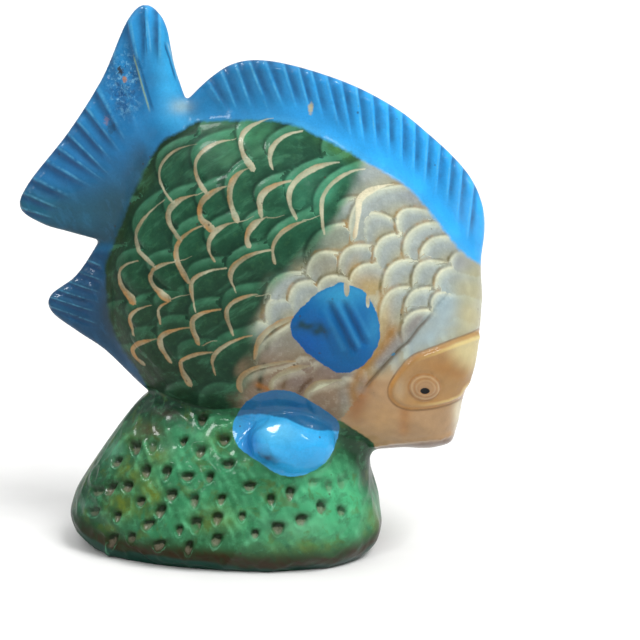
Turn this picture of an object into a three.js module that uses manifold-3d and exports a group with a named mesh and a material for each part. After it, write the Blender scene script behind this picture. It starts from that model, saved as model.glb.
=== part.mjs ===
// A tropical fish ornament, cast in one piece with a dimpled rock base.
// Millimetres, +Z up. The fish lies in the XZ plane with its head towards +X,
// nose down, and its sides face -Y (front) and +Y (back).
// The origin is the middle of the underside.
import * as THREE from 'three';
import { mergeVertices } from 'three/addons/utils/BufferGeometryUtils.js';
import Module from 'manifold-3d';

const wasm = await Module();
wasm.setup();

// ---------------------------------------------------------------- dimensions
const BODY_CENTRE = { x: 12.4, z: 86.2 };
const BODY_HALF_THICKNESS = 26; // at the middle of the flank
const BODY_RIM = 2.0; // half thickness of the body's edge
const AXIS_TILT = THREE.MathUtils.degToRad(-40); // the fish points down to the right
// distance from the body's centre to its edge, every 15 degrees from +X towards +Z
const BODY_RADII = [61.3, 56.4, 51.7, 50.2, 47.8, 50.7, 54.2, 56.6, 60.4, 58.8, 58.0, 58.5,
  60.2, 59.3, 57.1, 54.0, 52.6, 52.0, 52.8, 54.8, 59.0, 70.6, 66.6, 62.8];
// where the jaw and snout are flatter (-) or sharper (+) than that: degrees, spread, millimetres
const JAW_CUTS = [[-51.5, 5.5, -2.1], [-42, 2.2, 1.0], [-30, 6, -1.2]];
const BODY_CELLS = 30; // grid cells across each flank
const SCALE_CELLS = { along: 3, across: 4 }; // one scale, in grid cells
const SCALE_RELIEF = 1.5;

const FIN_HALF = 4.0; // half thickness of the fins
const FIN_ROUND = 2.6; // rounding of their rims
const RAY_WIDTH = 2.2;
const RAY_RELIEF = 0.8;
const DORSAL_RAYS = 19;
const TAIL_RAYS = 12;
const ANAL_RAYS = 4;

// the rock, level by level: height, left edge, right edge, half depth
const ROCK_HEIGHTS = [0, 3.2, 9.5, 17.5, 26, 34, 41, 47, 52];
const ROCK_LEFT = [-54.5, -59.2, -61.6, -59.2, -53.8, -48.4, -43.4, -38.8, -33.5];
const ROCK_RIGHT = [37.2, 41.8, 43.4, 41.9, 39.4, 38.9, 37.0, 32.0, 25.0];
const ROCK_DEPTH = [28.0, 31.4, 33.0, 32.4, 30.4, 27.2, 22.6, 17.5, 12.0];
const ROCK_LUMPS = 0.7;
const ROCK_TURN = -0.06; // the rock sits slightly turned under the fish

const BUMP = { x: 14.8, y: -21.5, z: 41.0, rx: 14.0, ry: 10.0, rz: 10.0 };
const PIT = { radius: 1.7, depth: 2.2, pitchX: 9.6, pitchZ: 8.6, rows: 4 };

const EYE = { x: 55.4, z: 58.6, rx: 4.9, rz: 4.3, proud: 1.1 };
const PECTORAL = { x: 28.0, z: 79.0, r: 13.6, proud: 1.5 };

// ------------------------------------------------------------------- helpers
const lerp = THREE.MathUtils.lerp;
const clamp = THREE.MathUtils.clamp;

function solid(geometry) {
  const g = geometry.clone();
  for (const name of Object.keys(g.attributes)) if (name !== 'position') g.deleteAttribute(name);
  const m = mergeVertices(g, 1e-4);
  const index = Array.from(m.index.array);
  const tri = [];
  for (let i = 0; i < index.length; i += 3) {
    const [a, b, c] = [index[i], index[i + 1], index[i + 2]];
    if (a !== b && b !== c && a !== c) tri.push(a, b, c);
  }
  const made = new wasm.Manifold(new wasm.Mesh({
    numProp: 3,
    vertProperties: Float32Array.from(m.attributes.position.array),
    triVerts: Uint32Array.from(tri),
  }));
  return made;
}

function geometryOf(manifold) {
  const mesh = manifold.getMesh();
  const g = new THREE.BufferGeometry();
  g.setAttribute('position', new THREE.BufferAttribute(Float32Array.from(mesh.vertProperties), 3));
  g.setIndex(Array.from(mesh.triVerts));
  g.computeVertexNormals();
  return g;
}

// smooth curve through evenly spaced values, u from 0 to 1
function along(values, u) {
  const n = values.length - 1;
  const t = clamp(u, 0, 1) * n;
  const i = Math.min(Math.floor(t), n - 1);
  const f = t - i;
  const p = (k) => values[clamp(i + k, 0, n)];
  return 0.5 * (2 * p(0) + (p(1) - p(-1)) * f + (2 * p(-1) - 5 * p(0) + 4 * p(1) - p(2)) * f * f
    + (3 * p(0) - p(-1) - 3 * p(1) + p(2)) * f ** 3);
}

function bodyRadius(angle) {
  const n = BODY_RADII.length;
  const t = ((((angle / (2 * Math.PI)) % 1) + 1) % 1) * n;
  const i = Math.floor(t);
  const f = t - i;
  const p = (k) => BODY_RADII[(i + k + n) % n];
  const degrees = THREE.MathUtils.euclideanModulo(THREE.MathUtils.radToDeg(angle) + 180, 360) - 180;
  const cut = JAW_CUTS.reduce((sum, [at, spread, mm]) => sum + mm * Math.exp(-(((degrees - at) / spread) ** 2)), 0);
  return cut + 0.5 * (2 * p(0) + (p(1) - p(-1)) * f + (2 * p(-1) - 5 * p(0) + 4 * p(1) - p(2)) * f * f
    + (3 * p(0) - p(-1) - 3 * p(1) + p(2)) * f ** 3);
}

// how far the flank stands out from the middle plane; the head is fuller to its edge
function flank(x, z) {
  const dx = x - BODY_CENTRE.x;
  const dz = z - BODY_CENTRE.z;
  const angle = Math.atan2(dz, dx);
  const rho = Math.min(Math.hypot(dx, dz) / bodyRadius(angle), 1);
  const headward = Math.max(0, Math.cos(angle + THREE.MathUtils.degToRad(42))) ** 2;
  return BODY_RIM + BODY_HALF_THICKNESS * (1 - rho ** 2.2) ** lerp(0.62, 0.42, headward);
}

// ---------------------------------------------------------------------- body
function scaleRelief(i, j, rho, s) {
  // overlapping scales: free edges towards the tail, alternate rows half a scale apart
  if (rho > 0.9 || s > 0.42) return 0;
  const column = Math.floor(i / SCALE_CELLS.along);
  const across = (j + (column % 2) * (SCALE_CELLS.across / 2)) % SCALE_CELLS.across;
  const step = i % SCALE_CELLS.along;
  const v = Math.abs(across - SCALE_CELLS.across / 2) / (SCALE_CELLS.across / 2);
  const rise = [1.0, 0.72, 0.3][step];
  return SCALE_RELIEF * (rise * (1 - 0.75 * v) - 0.15);
}

function bodySolid() {
  const n = BODY_CELLS;
  const g = new THREE.BoxGeometry(2, 2, 2, n, 1, n);
  const p = g.attributes.position;
  const cosA = Math.cos(AXIS_TILT);
  const sinA = Math.sin(AXIS_TILT);
  for (let k = 0; k < p.count; k++) {
    const s = p.getX(k);
    const t = p.getZ(k);
    const side = Math.sign(p.getY(k));
    // square to disc
    const dx = s * Math.sqrt(1 - (t * t) / 2);
    const dz = t * Math.sqrt(1 - (s * s) / 2);
    const rho = Math.min(Math.hypot(dx, dz), 1);
    const ax = dx * cosA - dz * sinA;
    const az = dx * sinA + dz * cosA;
    const angle = Math.atan2(az, ax);
    const r = bodyRadius(angle) * rho;
    const x = BODY_CENTRE.x + r * Math.cos(angle);
    const z = BODY_CENTRE.z + r * Math.sin(angle);
    const i = Math.round((s + 1) * 0.5 * n);
    const j = Math.round((t + 1) * 0.5 * n);
    p.setXYZ(k, x, side * (flank(x, z) + scaleRelief(i, j, rho, s)), z);
  }
  return solid(g);
}

// ---------------------------------------------------------------------- fins
// a round-rimmed plate in the XZ plane
function plate(outline, inner, pieces) {
  const shape = new THREE.Shape();
  shape.moveTo(outline[0][0], outline[0][1]);
  shape.splineThru(outline.slice(1).map(([x, z]) => new THREE.Vector2(x, z)));
  for (const [x, z] of inner) shape.lineTo(x, z);
  shape.closePath();
  const g = new THREE.ExtrudeGeometry(shape, {
    depth: 2 * (FIN_HALF - FIN_ROUND), curveSegments: pieces, steps: 1,
    bevelEnabled: true, bevelThickness: FIN_ROUND, bevelSize: FIN_ROUND, bevelOffset: -FIN_ROUND, bevelSegments: 2,
  });
  g.translate(0, 0, -(FIN_HALF - FIN_ROUND));
  g.rotateX(Math.PI / 2);
  return solid(g);
}

const TAIL = [[-21.4, 147.8], [-25.0, 158.6], [-27.8, 171.8], [-33.6, 177.6], [-39.8, 172.8], [-48.4, 154.0], [-59.7, 136.7],
  [-73.1, 120.0], [-75.9, 111.8], [-68.6, 106.7], [-60.2, 104.3], [-50.5, 101.8]];
const ANAL = [[-49.4, 102.3], [-57.8, 89.9], [-66.5, 83.0], [-66.1, 77.4], [-57.8, 71.2], [-47.4, 64.4], [-34.7, 53.8]];
const DORSAL = [[-21.8, 146.6], [-13.8, 154.3], [-6.0, 159.2], [3.2, 160.4], [16.0, 158.1], [32.6, 152.5], [46.6, 145.1],
  [55.9, 137.8], [64.1, 130.4], [70.4, 122.8], [74.0, 114.0], [74.5, 105.0], [72.9, 95.0], [71.3, 86.0]];

function pointOn(curve, u) {
  return curve.getPointAt(clamp(u, 0, 1));
}

// one raised ray from (x0, z0) to (x1, z1), on both faces of a fin: a low three-sided bar,
// widest at its second end, with its crest outwards and its foot inside the fin
function rays(x0, z0, x1, z1) {
  const length = Math.hypot(x1 - x0, z1 - z0);
  const made = [];
  for (const side of [-1, 1]) {
    const g = new THREE.CylinderGeometry(1, 0.65, length, 3, 1);
    const p = g.attributes.position;
    for (let k = 0; k < p.count; k++) {
      const height = p.getZ(k) > 0 ? FIN_HALF + RAY_RELIEF : FIN_HALF - 0.7;
      p.setXYZ(k, p.getY(k), side * height, side * p.getX(k) * RAY_WIDTH);
    }
    g.rotateY(-Math.atan2(z1 - z0, x1 - x0));
    g.translate((x0 + x1) / 2, 0, (z0 + z1) / 2);
    made.push(solid(g));
  }
  return made;
}

function finRays() {
  const made = [];
  const top = new THREE.SplineCurve(DORSAL.map(([x, z]) => new THREE.Vector2(x, z)));
  for (let i = 0; i < DORSAL_RAYS; i++) {
    const f = (i + 0.5) / DORSAL_RAYS;
    const rim = pointOn(top, 0.05 + 0.79 * f);
    const lean = THREE.MathUtils.degToRad(lerp(-58, -95, Math.min(1, f * 1.25)));
    const start = 4.2;
    const length = lerp(12.5, 13.5, f);
    const inset = 3.2 * Math.max(0, f - 0.6);
    made.push(...rays(
      rim.x + Math.cos(lean) * start - inset, rim.y + Math.sin(lean) * start,
      rim.x + Math.cos(lean) * (start + length) - inset, rim.y + Math.sin(lean) * (start + length)));
  }
  const fan = { x: -19.8, z: 99.5 };
  for (let i = 0; i < TAIL_RAYS; i++) {
    const angle = THREE.MathUtils.degToRad(lerp(99, 164, i / (TAIL_RAYS - 1)));
    const reach = along([68, 64, 57.5, 54, 52.5, 53.5, 52.0], i / (TAIL_RAYS - 1));
    const root = along([50, 44, 39, 36, 34, 35, 40], i / (TAIL_RAYS - 1));
    made.push(...rays(
      fan.x + Math.cos(angle) * reach, fan.z + Math.sin(angle) * reach,
      fan.x + Math.cos(angle) * root, fan.z + Math.sin(angle) * root));
  }
  for (let i = 0; i < ANAL_RAYS; i++) {
    const f = i / (ANAL_RAYS - 1);
    const angle = THREE.MathUtils.degToRad(lerp(-40, -8, f));
    const x = lerp(-54.6, -60.0, f);
    const z = lerp(93.0, 77.0, f);
    made.push(...rays(x, z, x + 7 * Math.cos(angle), z + 7 * Math.sin(angle)));
  }
  return made;
}

// ---------------------------------------------------------------------- rock
function rockLumps(x, y, z) {
  return ROCK_LUMPS * (Math.sin(x * 0.19 + z * 0.13) + Math.sin(y * 0.23 - z * 0.21 + 1.3)
    + Math.sin(x * 0.11 - y * 0.17 + z * 0.3 + 2.1)) / 1.6;
}

function rockSolid() {
  const rows = 9;
  const top = ROCK_HEIGHTS.at(-1);
  const profile = [new THREE.Vector2(0, 0)];
  for (let r = 0; r <= rows; r++) profile.push(new THREE.Vector2(1, top * (r / rows) ** 1.15));
  profile.push(new THREE.Vector2(0, top));
  const g = new THREE.LatheGeometry(profile, 32);
  g.rotateX(Math.PI / 2);
  // the lathe now turns about Z; its heights point along +Z
  const p = g.attributes.position;
  for (let k = 0; k < p.count; k++) {
    const h = Math.abs(p.getZ(k));
    const rim = Math.min(Math.hypot(p.getX(k), p.getY(k)), 1);
    const angle = Math.atan2(p.getY(k), p.getX(k));
    let u = 1;
    for (let i = 0; i < ROCK_HEIGHTS.length - 1; i++) {
      if (h >= ROCK_HEIGHTS[i] && h <= ROCK_HEIGHTS[i + 1]) {
        u = (i + (h - ROCK_HEIGHTS[i]) / (ROCK_HEIGHTS[i + 1] - ROCK_HEIGHTS[i])) / (ROCK_HEIGHTS.length - 1);
      }
    }
    const left = along(ROCK_LEFT, u);
    const right = along(ROCK_RIGHT, u);
    const depth = along(ROCK_DEPTH, u);
    // a slightly squared oval
    const cx = Math.sign(Math.cos(angle)) * Math.abs(Math.cos(angle)) ** 0.88;
    const cy = Math.sign(Math.sin(angle)) * Math.abs(Math.sin(angle)) ** 0.88;
    const x = (left + right) / 2 + ((right - left) / 2) * cx * rim;
    const y = depth * cy * rim;
    const lumps = h > 1 && rim > 0.5 ? rockLumps(x, y, h) * Math.min(1, (h - 1) / 6) * Math.abs(Math.sin(angle)) : 0;
    p.setXYZ(k, x + lumps * cx, y + lumps * cy + ROCK_TURN * (x + 8), h);
  }
  return solid(g);
}

// shallow pits pressed into the rock, in staggered slanting rows on its two broad sides
function pits() {
  const made = [];
  const swing = Math.hypot(1, 0.18);
  for (const side of [-1, 1]) {
    for (let row = 0; row < PIT.rows; row++) {
      for (let col = -5; col <= 4; col++) {
        const jitter = Math.sin(row * 7.1 + col * 3.7 + side) * 1.5;
        const x = -9 + (col + (row % 2) * 0.5) * PIT.pitchX + jitter;
        const z = 9.5 + row * PIT.pitchZ + Math.cos(col * 2.3 + row) * 1.2 - x * 0.04;
        const u = rockRow(z);
        const left = along(ROCK_LEFT, u) + 11;
        const right = along(ROCK_RIGHT, u) - 7;
        if (x < left || x > right) continue;
        if (side < 0 && Math.hypot((x - BUMP.x) / (BUMP.rx + 2), (z - BUMP.z) / (BUMP.rz + 4)) < 1) continue;
        if (side > 0 && (row + 3 * col + 40) % 4) continue; // fewer on the plainer back
        const surface = rockFace(x, z) + side * ROCK_TURN * (x + 8);
        const g = new THREE.CylinderGeometry(PIT.radius * 1.3, 0.3, PIT.depth + 1.0, 4, 1);
        // cone with its wide mouth outwards
        g.rotateX(side < 0 ? Math.PI / 2 : -Math.PI / 2);
        g.translate(x, side * (surface + 0.5 - PIT.depth / 2 * swing), z);
        made.push(solid(g));
      }
    }
  }
  return made;
}

function rockRow(z) {
  let u = 1;
  for (let i = 0; i < ROCK_HEIGHTS.length - 1; i++) {
    if (z >= ROCK_HEIGHTS[i] && z <= ROCK_HEIGHTS[i + 1]) {
      u = (i + (z - ROCK_HEIGHTS[i]) / (ROCK_HEIGHTS[i + 1] - ROCK_HEIGHTS[i])) / (ROCK_HEIGHTS.length - 1);
    }
  }
  return u;
}

function rockFace(x, z) {
  const u = rockRow(z);
  const left = along(ROCK_LEFT, u);
  const right = along(ROCK_RIGHT, u);
  const c = clamp((x - (left + right) / 2) / ((right - left) / 2), -0.98, 0.98);
  const cosAngle = Math.abs(c) ** (1 / 0.88);
  return along(ROCK_DEPTH, u) * Math.sqrt(1 - cosAngle * cosAngle) ** 0.88;
}

// ------------------------------------------------------------- head and pads
function blob(x, y, z, rx, ry, rz, w, h) {
  const g = new THREE.SphereGeometry(1, w, h);
  g.scale(rx, ry, rz);
  g.translate(x, y, z);
  return solid(g);
}

// a low ridge that follows the flank along a few named points
function ridge(points, radius, side, steps) {
  const curve = new THREE.CatmullRomCurve3(points.map(([x, z]) => new THREE.Vector3(x, side * (flank(x, z) - 0.2), z)));
  const section = new THREE.Shape();
  for (let i = 0; i < 4; i++) {
    const a = (i / 4) * 2 * Math.PI;
    if (i) section.lineTo(radius * Math.cos(a), radius * Math.sin(a));
    else section.moveTo(radius * Math.cos(a), radius * Math.sin(a));
  }
  section.closePath();
  return solid(new THREE.ExtrudeGeometry(section, { steps, extrudePath: curve, bevelEnabled: false }));
}

const GILL = [[56.0, 80.5], [49.4, 75.0], [44.3, 68.6], [39.9, 62.8], [35.4, 55.5]];
const MASK = [[70.4, 73.8], [62.1, 72.5], [54.6, 70.3], [49.2, 66.4], [46.2, 61.6], [46.6, 56.4], [52.0, 53.0], [60.5, 52.8]];

function headDetails() {
  const made = [];
  for (const side of [-1, 1]) {
    made.push(ridge(GILL, 1.1, side, 6));
    made.push(ridge(MASK, 0.9, side, 9));
    const y = side * (flank(EYE.x, EYE.z) - 0.9);
    const ring = new THREE.TorusGeometry(1, 0.16, 4, 12);
    ring.rotateX(Math.PI / 2);
    ring.scale(EYE.rx, 4.0, EYE.rz);
    ring.rotateZ(-side * 0.5);
    ring.translate(EYE.x, y + side * 0.9, EYE.z);
    made.push(solid(ring));
    made.push(blob(EYE.x, y, EYE.z, EYE.rx * 0.8, EYE.proud + 1.0, EYE.rz * 0.8, 8, 5));
    // pectoral pad
    const pad = new THREE.SphereGeometry(1, 16, 6);
    const p = pad.attributes.position;
    for (let k = 0; k < p.count; k++) {
      const x = PECTORAL.x + PECTORAL.r * p.getX(k);
      const z = PECTORAL.z + PECTORAL.r * p.getZ(k);
      p.setXYZ(k, x, side * (flank(x, z) - 1.0) + PECTORAL.proud * 1.6 * p.getY(k), z);
    }
    made.push(solid(pad));
  }
  return made;
}

// ------------------------------------------------------------------ assembly
let figure = bodySolid();
const inward = [[-20, 112], [8, 100]];
for (const piece of [
  plate(TAIL, [[-38, 96], [-12, 118]], 2),
  plate(ANAL, [[-26, 66], [-34, 92]], 2),
  plate(DORSAL, [[60, 82], [44, 104], ...inward.slice(1), [-14, 130]], 2),
  rockSolid(),
  blob(BUMP.x, BUMP.y, BUMP.z, BUMP.rx, BUMP.ry, BUMP.rz, 16, 8),
  ...finRays(),
  ...headDetails(),
]) figure = figure.add(piece);
for (const pit of pits()) figure = figure.subtract(pit);

const geometry = geometryOf(figure);
geometry.computeBoundingBox();
const box = geometry.boundingBox;
geometry.translate(-(box.min.x + box.max.x) / 2, -(box.min.y + box.max.y) / 2, -box.min.z);

const fish = new THREE.Mesh(geometry, new THREE.MeshStandardMaterial({
  color: 0x3f8f78, roughness: 0.25, metalness: 0.0,
}));
fish.name = 'fish_on_rock_base';

const group = new THREE.Group();
group.add(fish);
export default group;
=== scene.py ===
# A hand-painted earthenware fish ornament, cast in one with its dimpled rock base.
import bpy
import math
import numpy as np
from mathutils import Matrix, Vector


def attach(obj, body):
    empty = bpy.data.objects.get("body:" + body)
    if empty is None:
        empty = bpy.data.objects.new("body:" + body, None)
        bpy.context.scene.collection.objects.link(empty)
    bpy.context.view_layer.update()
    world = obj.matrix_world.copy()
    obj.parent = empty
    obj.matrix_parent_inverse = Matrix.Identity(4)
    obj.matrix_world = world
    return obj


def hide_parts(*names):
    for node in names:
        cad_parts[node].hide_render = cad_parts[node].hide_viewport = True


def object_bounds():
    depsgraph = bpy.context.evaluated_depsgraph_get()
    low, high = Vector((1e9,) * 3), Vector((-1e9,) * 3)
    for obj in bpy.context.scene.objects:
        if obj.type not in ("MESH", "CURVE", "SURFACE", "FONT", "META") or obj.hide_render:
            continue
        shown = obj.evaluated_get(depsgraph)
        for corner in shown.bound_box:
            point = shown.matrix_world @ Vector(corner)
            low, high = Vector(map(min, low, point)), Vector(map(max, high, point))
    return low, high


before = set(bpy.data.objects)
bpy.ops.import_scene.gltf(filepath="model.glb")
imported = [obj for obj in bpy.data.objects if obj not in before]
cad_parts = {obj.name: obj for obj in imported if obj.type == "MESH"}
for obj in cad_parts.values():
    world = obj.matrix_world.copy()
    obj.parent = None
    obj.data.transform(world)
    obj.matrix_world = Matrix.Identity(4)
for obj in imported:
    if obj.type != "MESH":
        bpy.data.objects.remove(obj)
cad_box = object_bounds()

# ------------------------------------------------------------------ viewpoint
# The side that is seen, as an orthonormal frame in millimetres. The painted pattern is
# laid out on this plane (u right, v down, 640 across), and mirrored for the hidden side.
AZ, EL, DIST, SCALE = math.radians(6.0), math.radians(11.0), 620.0, 0.325
P0 = np.array([252.0, 290.0])
AIM = np.array([0.0, 0.0, 86.0])
OFF = np.array([0.777, -0.154, 0.0])        # model frame to the frame's own origin
BACK = np.array([math.sin(AZ) * math.cos(EL), -math.cos(AZ) * math.cos(EL), math.sin(EL)])
EYE_AT = AIM + DIST * BACK
FWD = -BACK
RIGHT = np.cross(FWD, [0, 0, 1.0]); RIGHT /= np.linalg.norm(RIGHT)
UP = np.cross(RIGHT, FWD)
FOC = DIST / SCALE


def project(p):
    q = p - EYE_AT
    w = q @ FWD
    return P0[0] + FOC * (q @ RIGHT) / w, P0[1] - FOC * (q @ UP) / w


# ------------------------------------------------------------------- helpers
def sstep(a, b, x):
    t = np.clip((x - a) / (b - a), 0, 1)
    return t * t * (3 - 2 * t)


def smin(a, b, k):
    h = np.maximum(k - np.abs(a - b), 0) / k
    return np.minimum(a, b) - h * h * k * 0.25


def smax(a, b, k):
    return -smin(-a, -b, k)


def crom(points, per):
    """Uniform Catmull-Rom through the points, per steps a span, ends held."""
    p = np.asarray(points, float)
    q = np.vstack([p[:1], p, p[-1:]])
    out = []
    for i in range(len(p) - 1):
        a, b, c, d = q[i], q[i + 1], q[i + 2], q[i + 3]
        for f in np.arange(per) / per:
            out.append(0.5 * (2 * b + (c - a) * f + (2 * a - 5 * b + 4 * c - d) * f * f + (3 * b - a - 3 * c + d) * f ** 3))
    out.append(p[-1])
    return np.array(out)


def crom_closed(points, per):
    p = np.asarray(points, float)
    n = len(p)
    out = []
    for i in range(n):
        a, b, c, d = p[(i - 1) % n], p[i], p[(i + 1) % n], p[(i + 2) % n]
        for f in np.arange(per) / per:
            out.append(0.5 * (2 * b + (c - a) * f + (2 * a - 5 * b + 4 * c - d) * f * f + (3 * b - a - 3 * c + d) * f ** 3))
    return np.array(out)


def seg_dist(px, py, line, closed=False):
    """Distance to a polyline, the signed side of its nearest part (+ is to its left as
    drawn with y up), and the running place along it from 0 to 1."""
    q = np.vstack([line, line[:1]]) if closed else line
    best = np.full(px.shape, 1e18)
    side = np.zeros(px.shape)
    place = np.zeros(px.shape)
    lengths = np.hypot(*(q[1:] - q[:-1]).T)
    run = np.concatenate([[0], np.cumsum(lengths)])
    for i in range(len(q) - 1):
        ax, ay = q[i]
        ex, ey = q[i + 1] - q[i]
        ll = ex * ex + ey * ey + 1e-12
        t = np.clip(((px - ax) * ex + (py - ay) * ey) / ll, 0, 1)
        dx, dy = px - ax - t * ex, py - ay - t * ey
        d = dx * dx + dy * dy
        m = d < best
        best = np.where(m, d, best)
        side = np.where(m, ex * dy - ey * dx, side)
        place = np.where(m, (run[i] + t * lengths[i]) / run[-1], place)
    return np.sqrt(best), np.sign(side), place


def poly_sdf(px, py, poly):
    """Signed distance to a closed outline, negative inside."""
    d, _, _ = seg_dist(px, py, poly, closed=True)
    inside = np.zeros(px.shape, bool)
    q = np.vstack([poly, poly[:1]])
    for i in range(len(poly)):
        (x0, y0), (x1, y1) = q[i], q[i + 1]
        if y0 == y1:
            continue
        c = (y0 > py) != (y1 > py)
        inside ^= c & (px < (x1 - x0) * (py - y0) / (y1 - y0) + x0)
    return np.where(inside, -d, d)


rng = np.random.default_rng(7)
WAVES = rng.normal(size=(48, 3))
WAVES /= np.linalg.norm(WAVES, axis=1)[:, None]
PHASES = rng.uniform(0, 2 * math.pi, 48)


def lumps(p, wavelength, first=0, count=8):
    s = 0
    for i in range(first, first + count):
        s = s + np.sin((p @ WAVES[i]) * (2 * math.pi / wavelength * (0.75 + 0.07 * (i - first))) + PHASES[i])
    return s / math.sqrt(count)


# --------------------------------------------------------------- the main form
CX, CZ = 12.4, 86.2
HALF, RIM = 26.0, 2.0
RADII = np.array([61.3, 56.4, 51.7, 50.2, 47.8, 50.7, 54.2, 56.6, 60.4, 58.8, 58.0, 58.5,
                  60.2, 59.3, 57.1, 54.0, 52.6, 52.0, 52.8, 54.8, 59.0, 70.6, 66.6, 62.8])
TAIL = [[-21.4, 147.8], [-25.0, 158.6], [-27.8, 171.8], [-33.6, 177.6], [-39.8, 172.8], [-48.4, 154.0], [-59.7, 136.7],
        [-73.1, 120.0], [-75.9, 111.8], [-68.6, 106.7], [-60.2, 104.3], [-50.5, 101.8]]
ANAL = [[-49.4, 102.3], [-57.8, 89.9], [-66.5, 83.0], [-66.1, 77.4], [-57.8, 71.2], [-47.4, 64.4], [-34.7, 53.8]]
DORSAL = [[-21.8, 146.6], [-13.8, 154.3], [-6.0, 159.2], [3.2, 160.4], [16.0, 158.1], [32.6, 152.5], [46.6, 145.1],
          [55.9, 137.8], [64.1, 130.4], [70.4, 122.8], [74.0, 114.0], [74.5, 105.0], [72.9, 95.0], [71.3, 86.0]]
TAIL_IN = [[-38, 94], [-8, 112], [-8, 124]]
ANAL_IN = [[-22, 66], [-30, 96]]
DORSAL_IN = [[60, 80], [44, 100], [8, 98], [-14, 126]]
ROCK_H = [0, 3.2, 9.5, 17.5, 26, 34, 41, 47, 52]
ROCK_L = [-54.5, -59.2, -61.6, -59.2, -53.8, -48.4, -43.4, -38.8, -33.5]
ROCK_R = [37.2, 41.8, 43.4, 41.9, 39.4, 38.9, 37.0, 32.0, 25.0]
ROCK_D = [28.0, 31.4, 33.0, 32.4, 30.4, 27.2, 22.6, 17.5, 12.0]
ROCK_TURN = -0.06
BUMP_C, BUMP_R = np.array([14.8, -21.5, 41.0]), np.array([14.0, 10.0, 10.0])

# finer tables of the radius and of the rock's levels
_t = np.arange(2400) / 2400 * 24
_i = np.floor(_t).astype(int); _f = _t - _i
_p = [RADII[(_i + k) % 24] for k in (-1, 0, 1, 2)]
RADIUS_TABLE = 0.5 * (2 * _p[1] + (_p[2] - _p[0]) * _f + (2 * _p[0] - 5 * _p[1] + 4 * _p[2] - _p[3]) * _f ** 2
                      + (3 * _p[1] - _p[0] - 3 * _p[2] + _p[3]) * _f ** 3)
_k = np.exp(-0.5 * (np.arange(-90, 91) / 13.0) ** 2); _k /= _k.sum()
RADIUS_TABLE = np.convolve(np.concatenate([RADIUS_TABLE[-90:], RADIUS_TABLE, RADIUS_TABLE[:90]]), _k, 'valid')
# the jaw and snout are flatter or sharper than that curve: degrees, spread, millimetres
JAW_CUTS = [(-51.5, 5.5, -2.1), (-42, 2.2, 1.0), (-30, 6, -1.2)]
_a = np.arange(2400) * 0.15
_a = np.where(_a > 180, _a - 360, _a)
for where, spread, mm in JAW_CUTS:
    RADIUS_TABLE = RADIUS_TABLE + mm * np.exp(-((_a - where) / spread) ** 2)
RADIUS_TABLE = np.append(RADIUS_TABLE, RADIUS_TABLE[0])
_h = np.linspace(-4, 56, 601)


def level_table(values):
    v = np.interp(_h, ROCK_H, values)
    k = np.exp(-0.5 * (np.arange(-40, 41) / 16.0) ** 2); k /= k.sum()
    return np.convolve(np.pad(v, 40, mode='edge'), k, 'valid')


T_L, T_R, T_D = level_table(ROCK_L), level_table(ROCK_R), level_table(ROCK_D)


def body_radius(th):
    t = (th / (2 * math.pi)) % 1.0 * 2400
    i = np.minimum(t.astype(np.int64), 2399)
    f = t - i
    return RADIUS_TABLE[i] * (1 - f) + RADIUS_TABLE[i + 1] * f


# flat tables of the distance to each fin's outline
GX, GZ, GS = np.arange(-82, 82.01, 0.4), np.arange(40, 184.01, 0.4), 0.4
_gx, _gz = np.meshgrid(GX, GZ, indexing='ij')


def fin_table(outline, inner):
    poly = np.vstack([crom(outline, 6), np.array(inner, float)])
    return poly_sdf(_gx, _gz, poly)


FIN = [fin_table(TAIL, TAIL_IN), fin_table(DORSAL, DORSAL_IN), fin_table(ANAL, ANAL_IN)]


def look(table, x, z):
    a = np.clip((x - GX[0]) / GS, 0, len(GX) - 1.001)
    b = np.clip((z - GZ[0]) / GS, 0, len(GZ) - 1.001)
    i, j = a.astype(np.int64), b.astype(np.int64)
    f, g = a - i, b - j
    return (table[i, j] * (1 - f) * (1 - g) + table[i + 1, j] * f * (1 - g)
            + table[i, j + 1] * (1 - f) * g + table[i + 1, j + 1] * f * g)


def form(x, y, z):
    """Negative inside the casting; about millimetres near its surface."""
    ay = np.sqrt(y * y + 0.09)
    dx, dz = x - CX, z - CZ
    th = np.arctan2(dz, dx)
    rho = np.hypot(dx, dz) / body_radius(th)
    w = np.maximum(0, np.cos(th + math.radians(42))) ** 2
    b = 0.62 - 0.20 * w
    body = ((rho ** 2.2 + (np.maximum(ay - RIM, 0) / HALF) ** (1 / b)) ** (1 / 2.2) - 1) * 45.0
    fins = []
    for table in FIN:
        d2 = look(table, x, z)
        t = 3.1 + 1.5 * sstep(1.0, 20.0, -d2)
        r = 2.9
        w1, w2 = d2 + r, ay - t + r
        fins.append(np.minimum(np.maximum(w1, w2), 0) + np.hypot(np.maximum(w1, 0), np.maximum(w2, 0)) - r)
    fin = smin(smin(fins[0], fins[1], 2.0), fins[2], 1.6)
    fish = smin(body, fin, 6.0)
    hz = np.clip(z, -4, 56)
    left, right, depth = np.interp(hz, _h, T_L), np.interp(hz, _h, T_R), np.interp(hz, _h, T_D)
    ex = np.abs(x - (left + right) / 2) / ((right - left) / 2)
    ey = np.abs(y - ROCK_TURN * (x + 8)) / depth
    rock = ((ex ** 2.27 + ey ** 2.27 + 1e-9) ** (1 / 2.27) - 1) * 32.0
    rock = smax(rock, z - 52.0, 5.0)
    bump = (np.sqrt(((x - BUMP_C[0]) / BUMP_R[0]) ** 2 + ((y - BUMP_C[1]) / BUMP_R[1]) ** 2
                    + ((z - BUMP_C[2]) / BUMP_R[2]) ** 2) - 1) * 10.0
    rock = smin(rock, bump, 2.2)
    all_ = smin(fish, rock, 3.6)
    return smax(all_, -z, 1.4)


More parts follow.
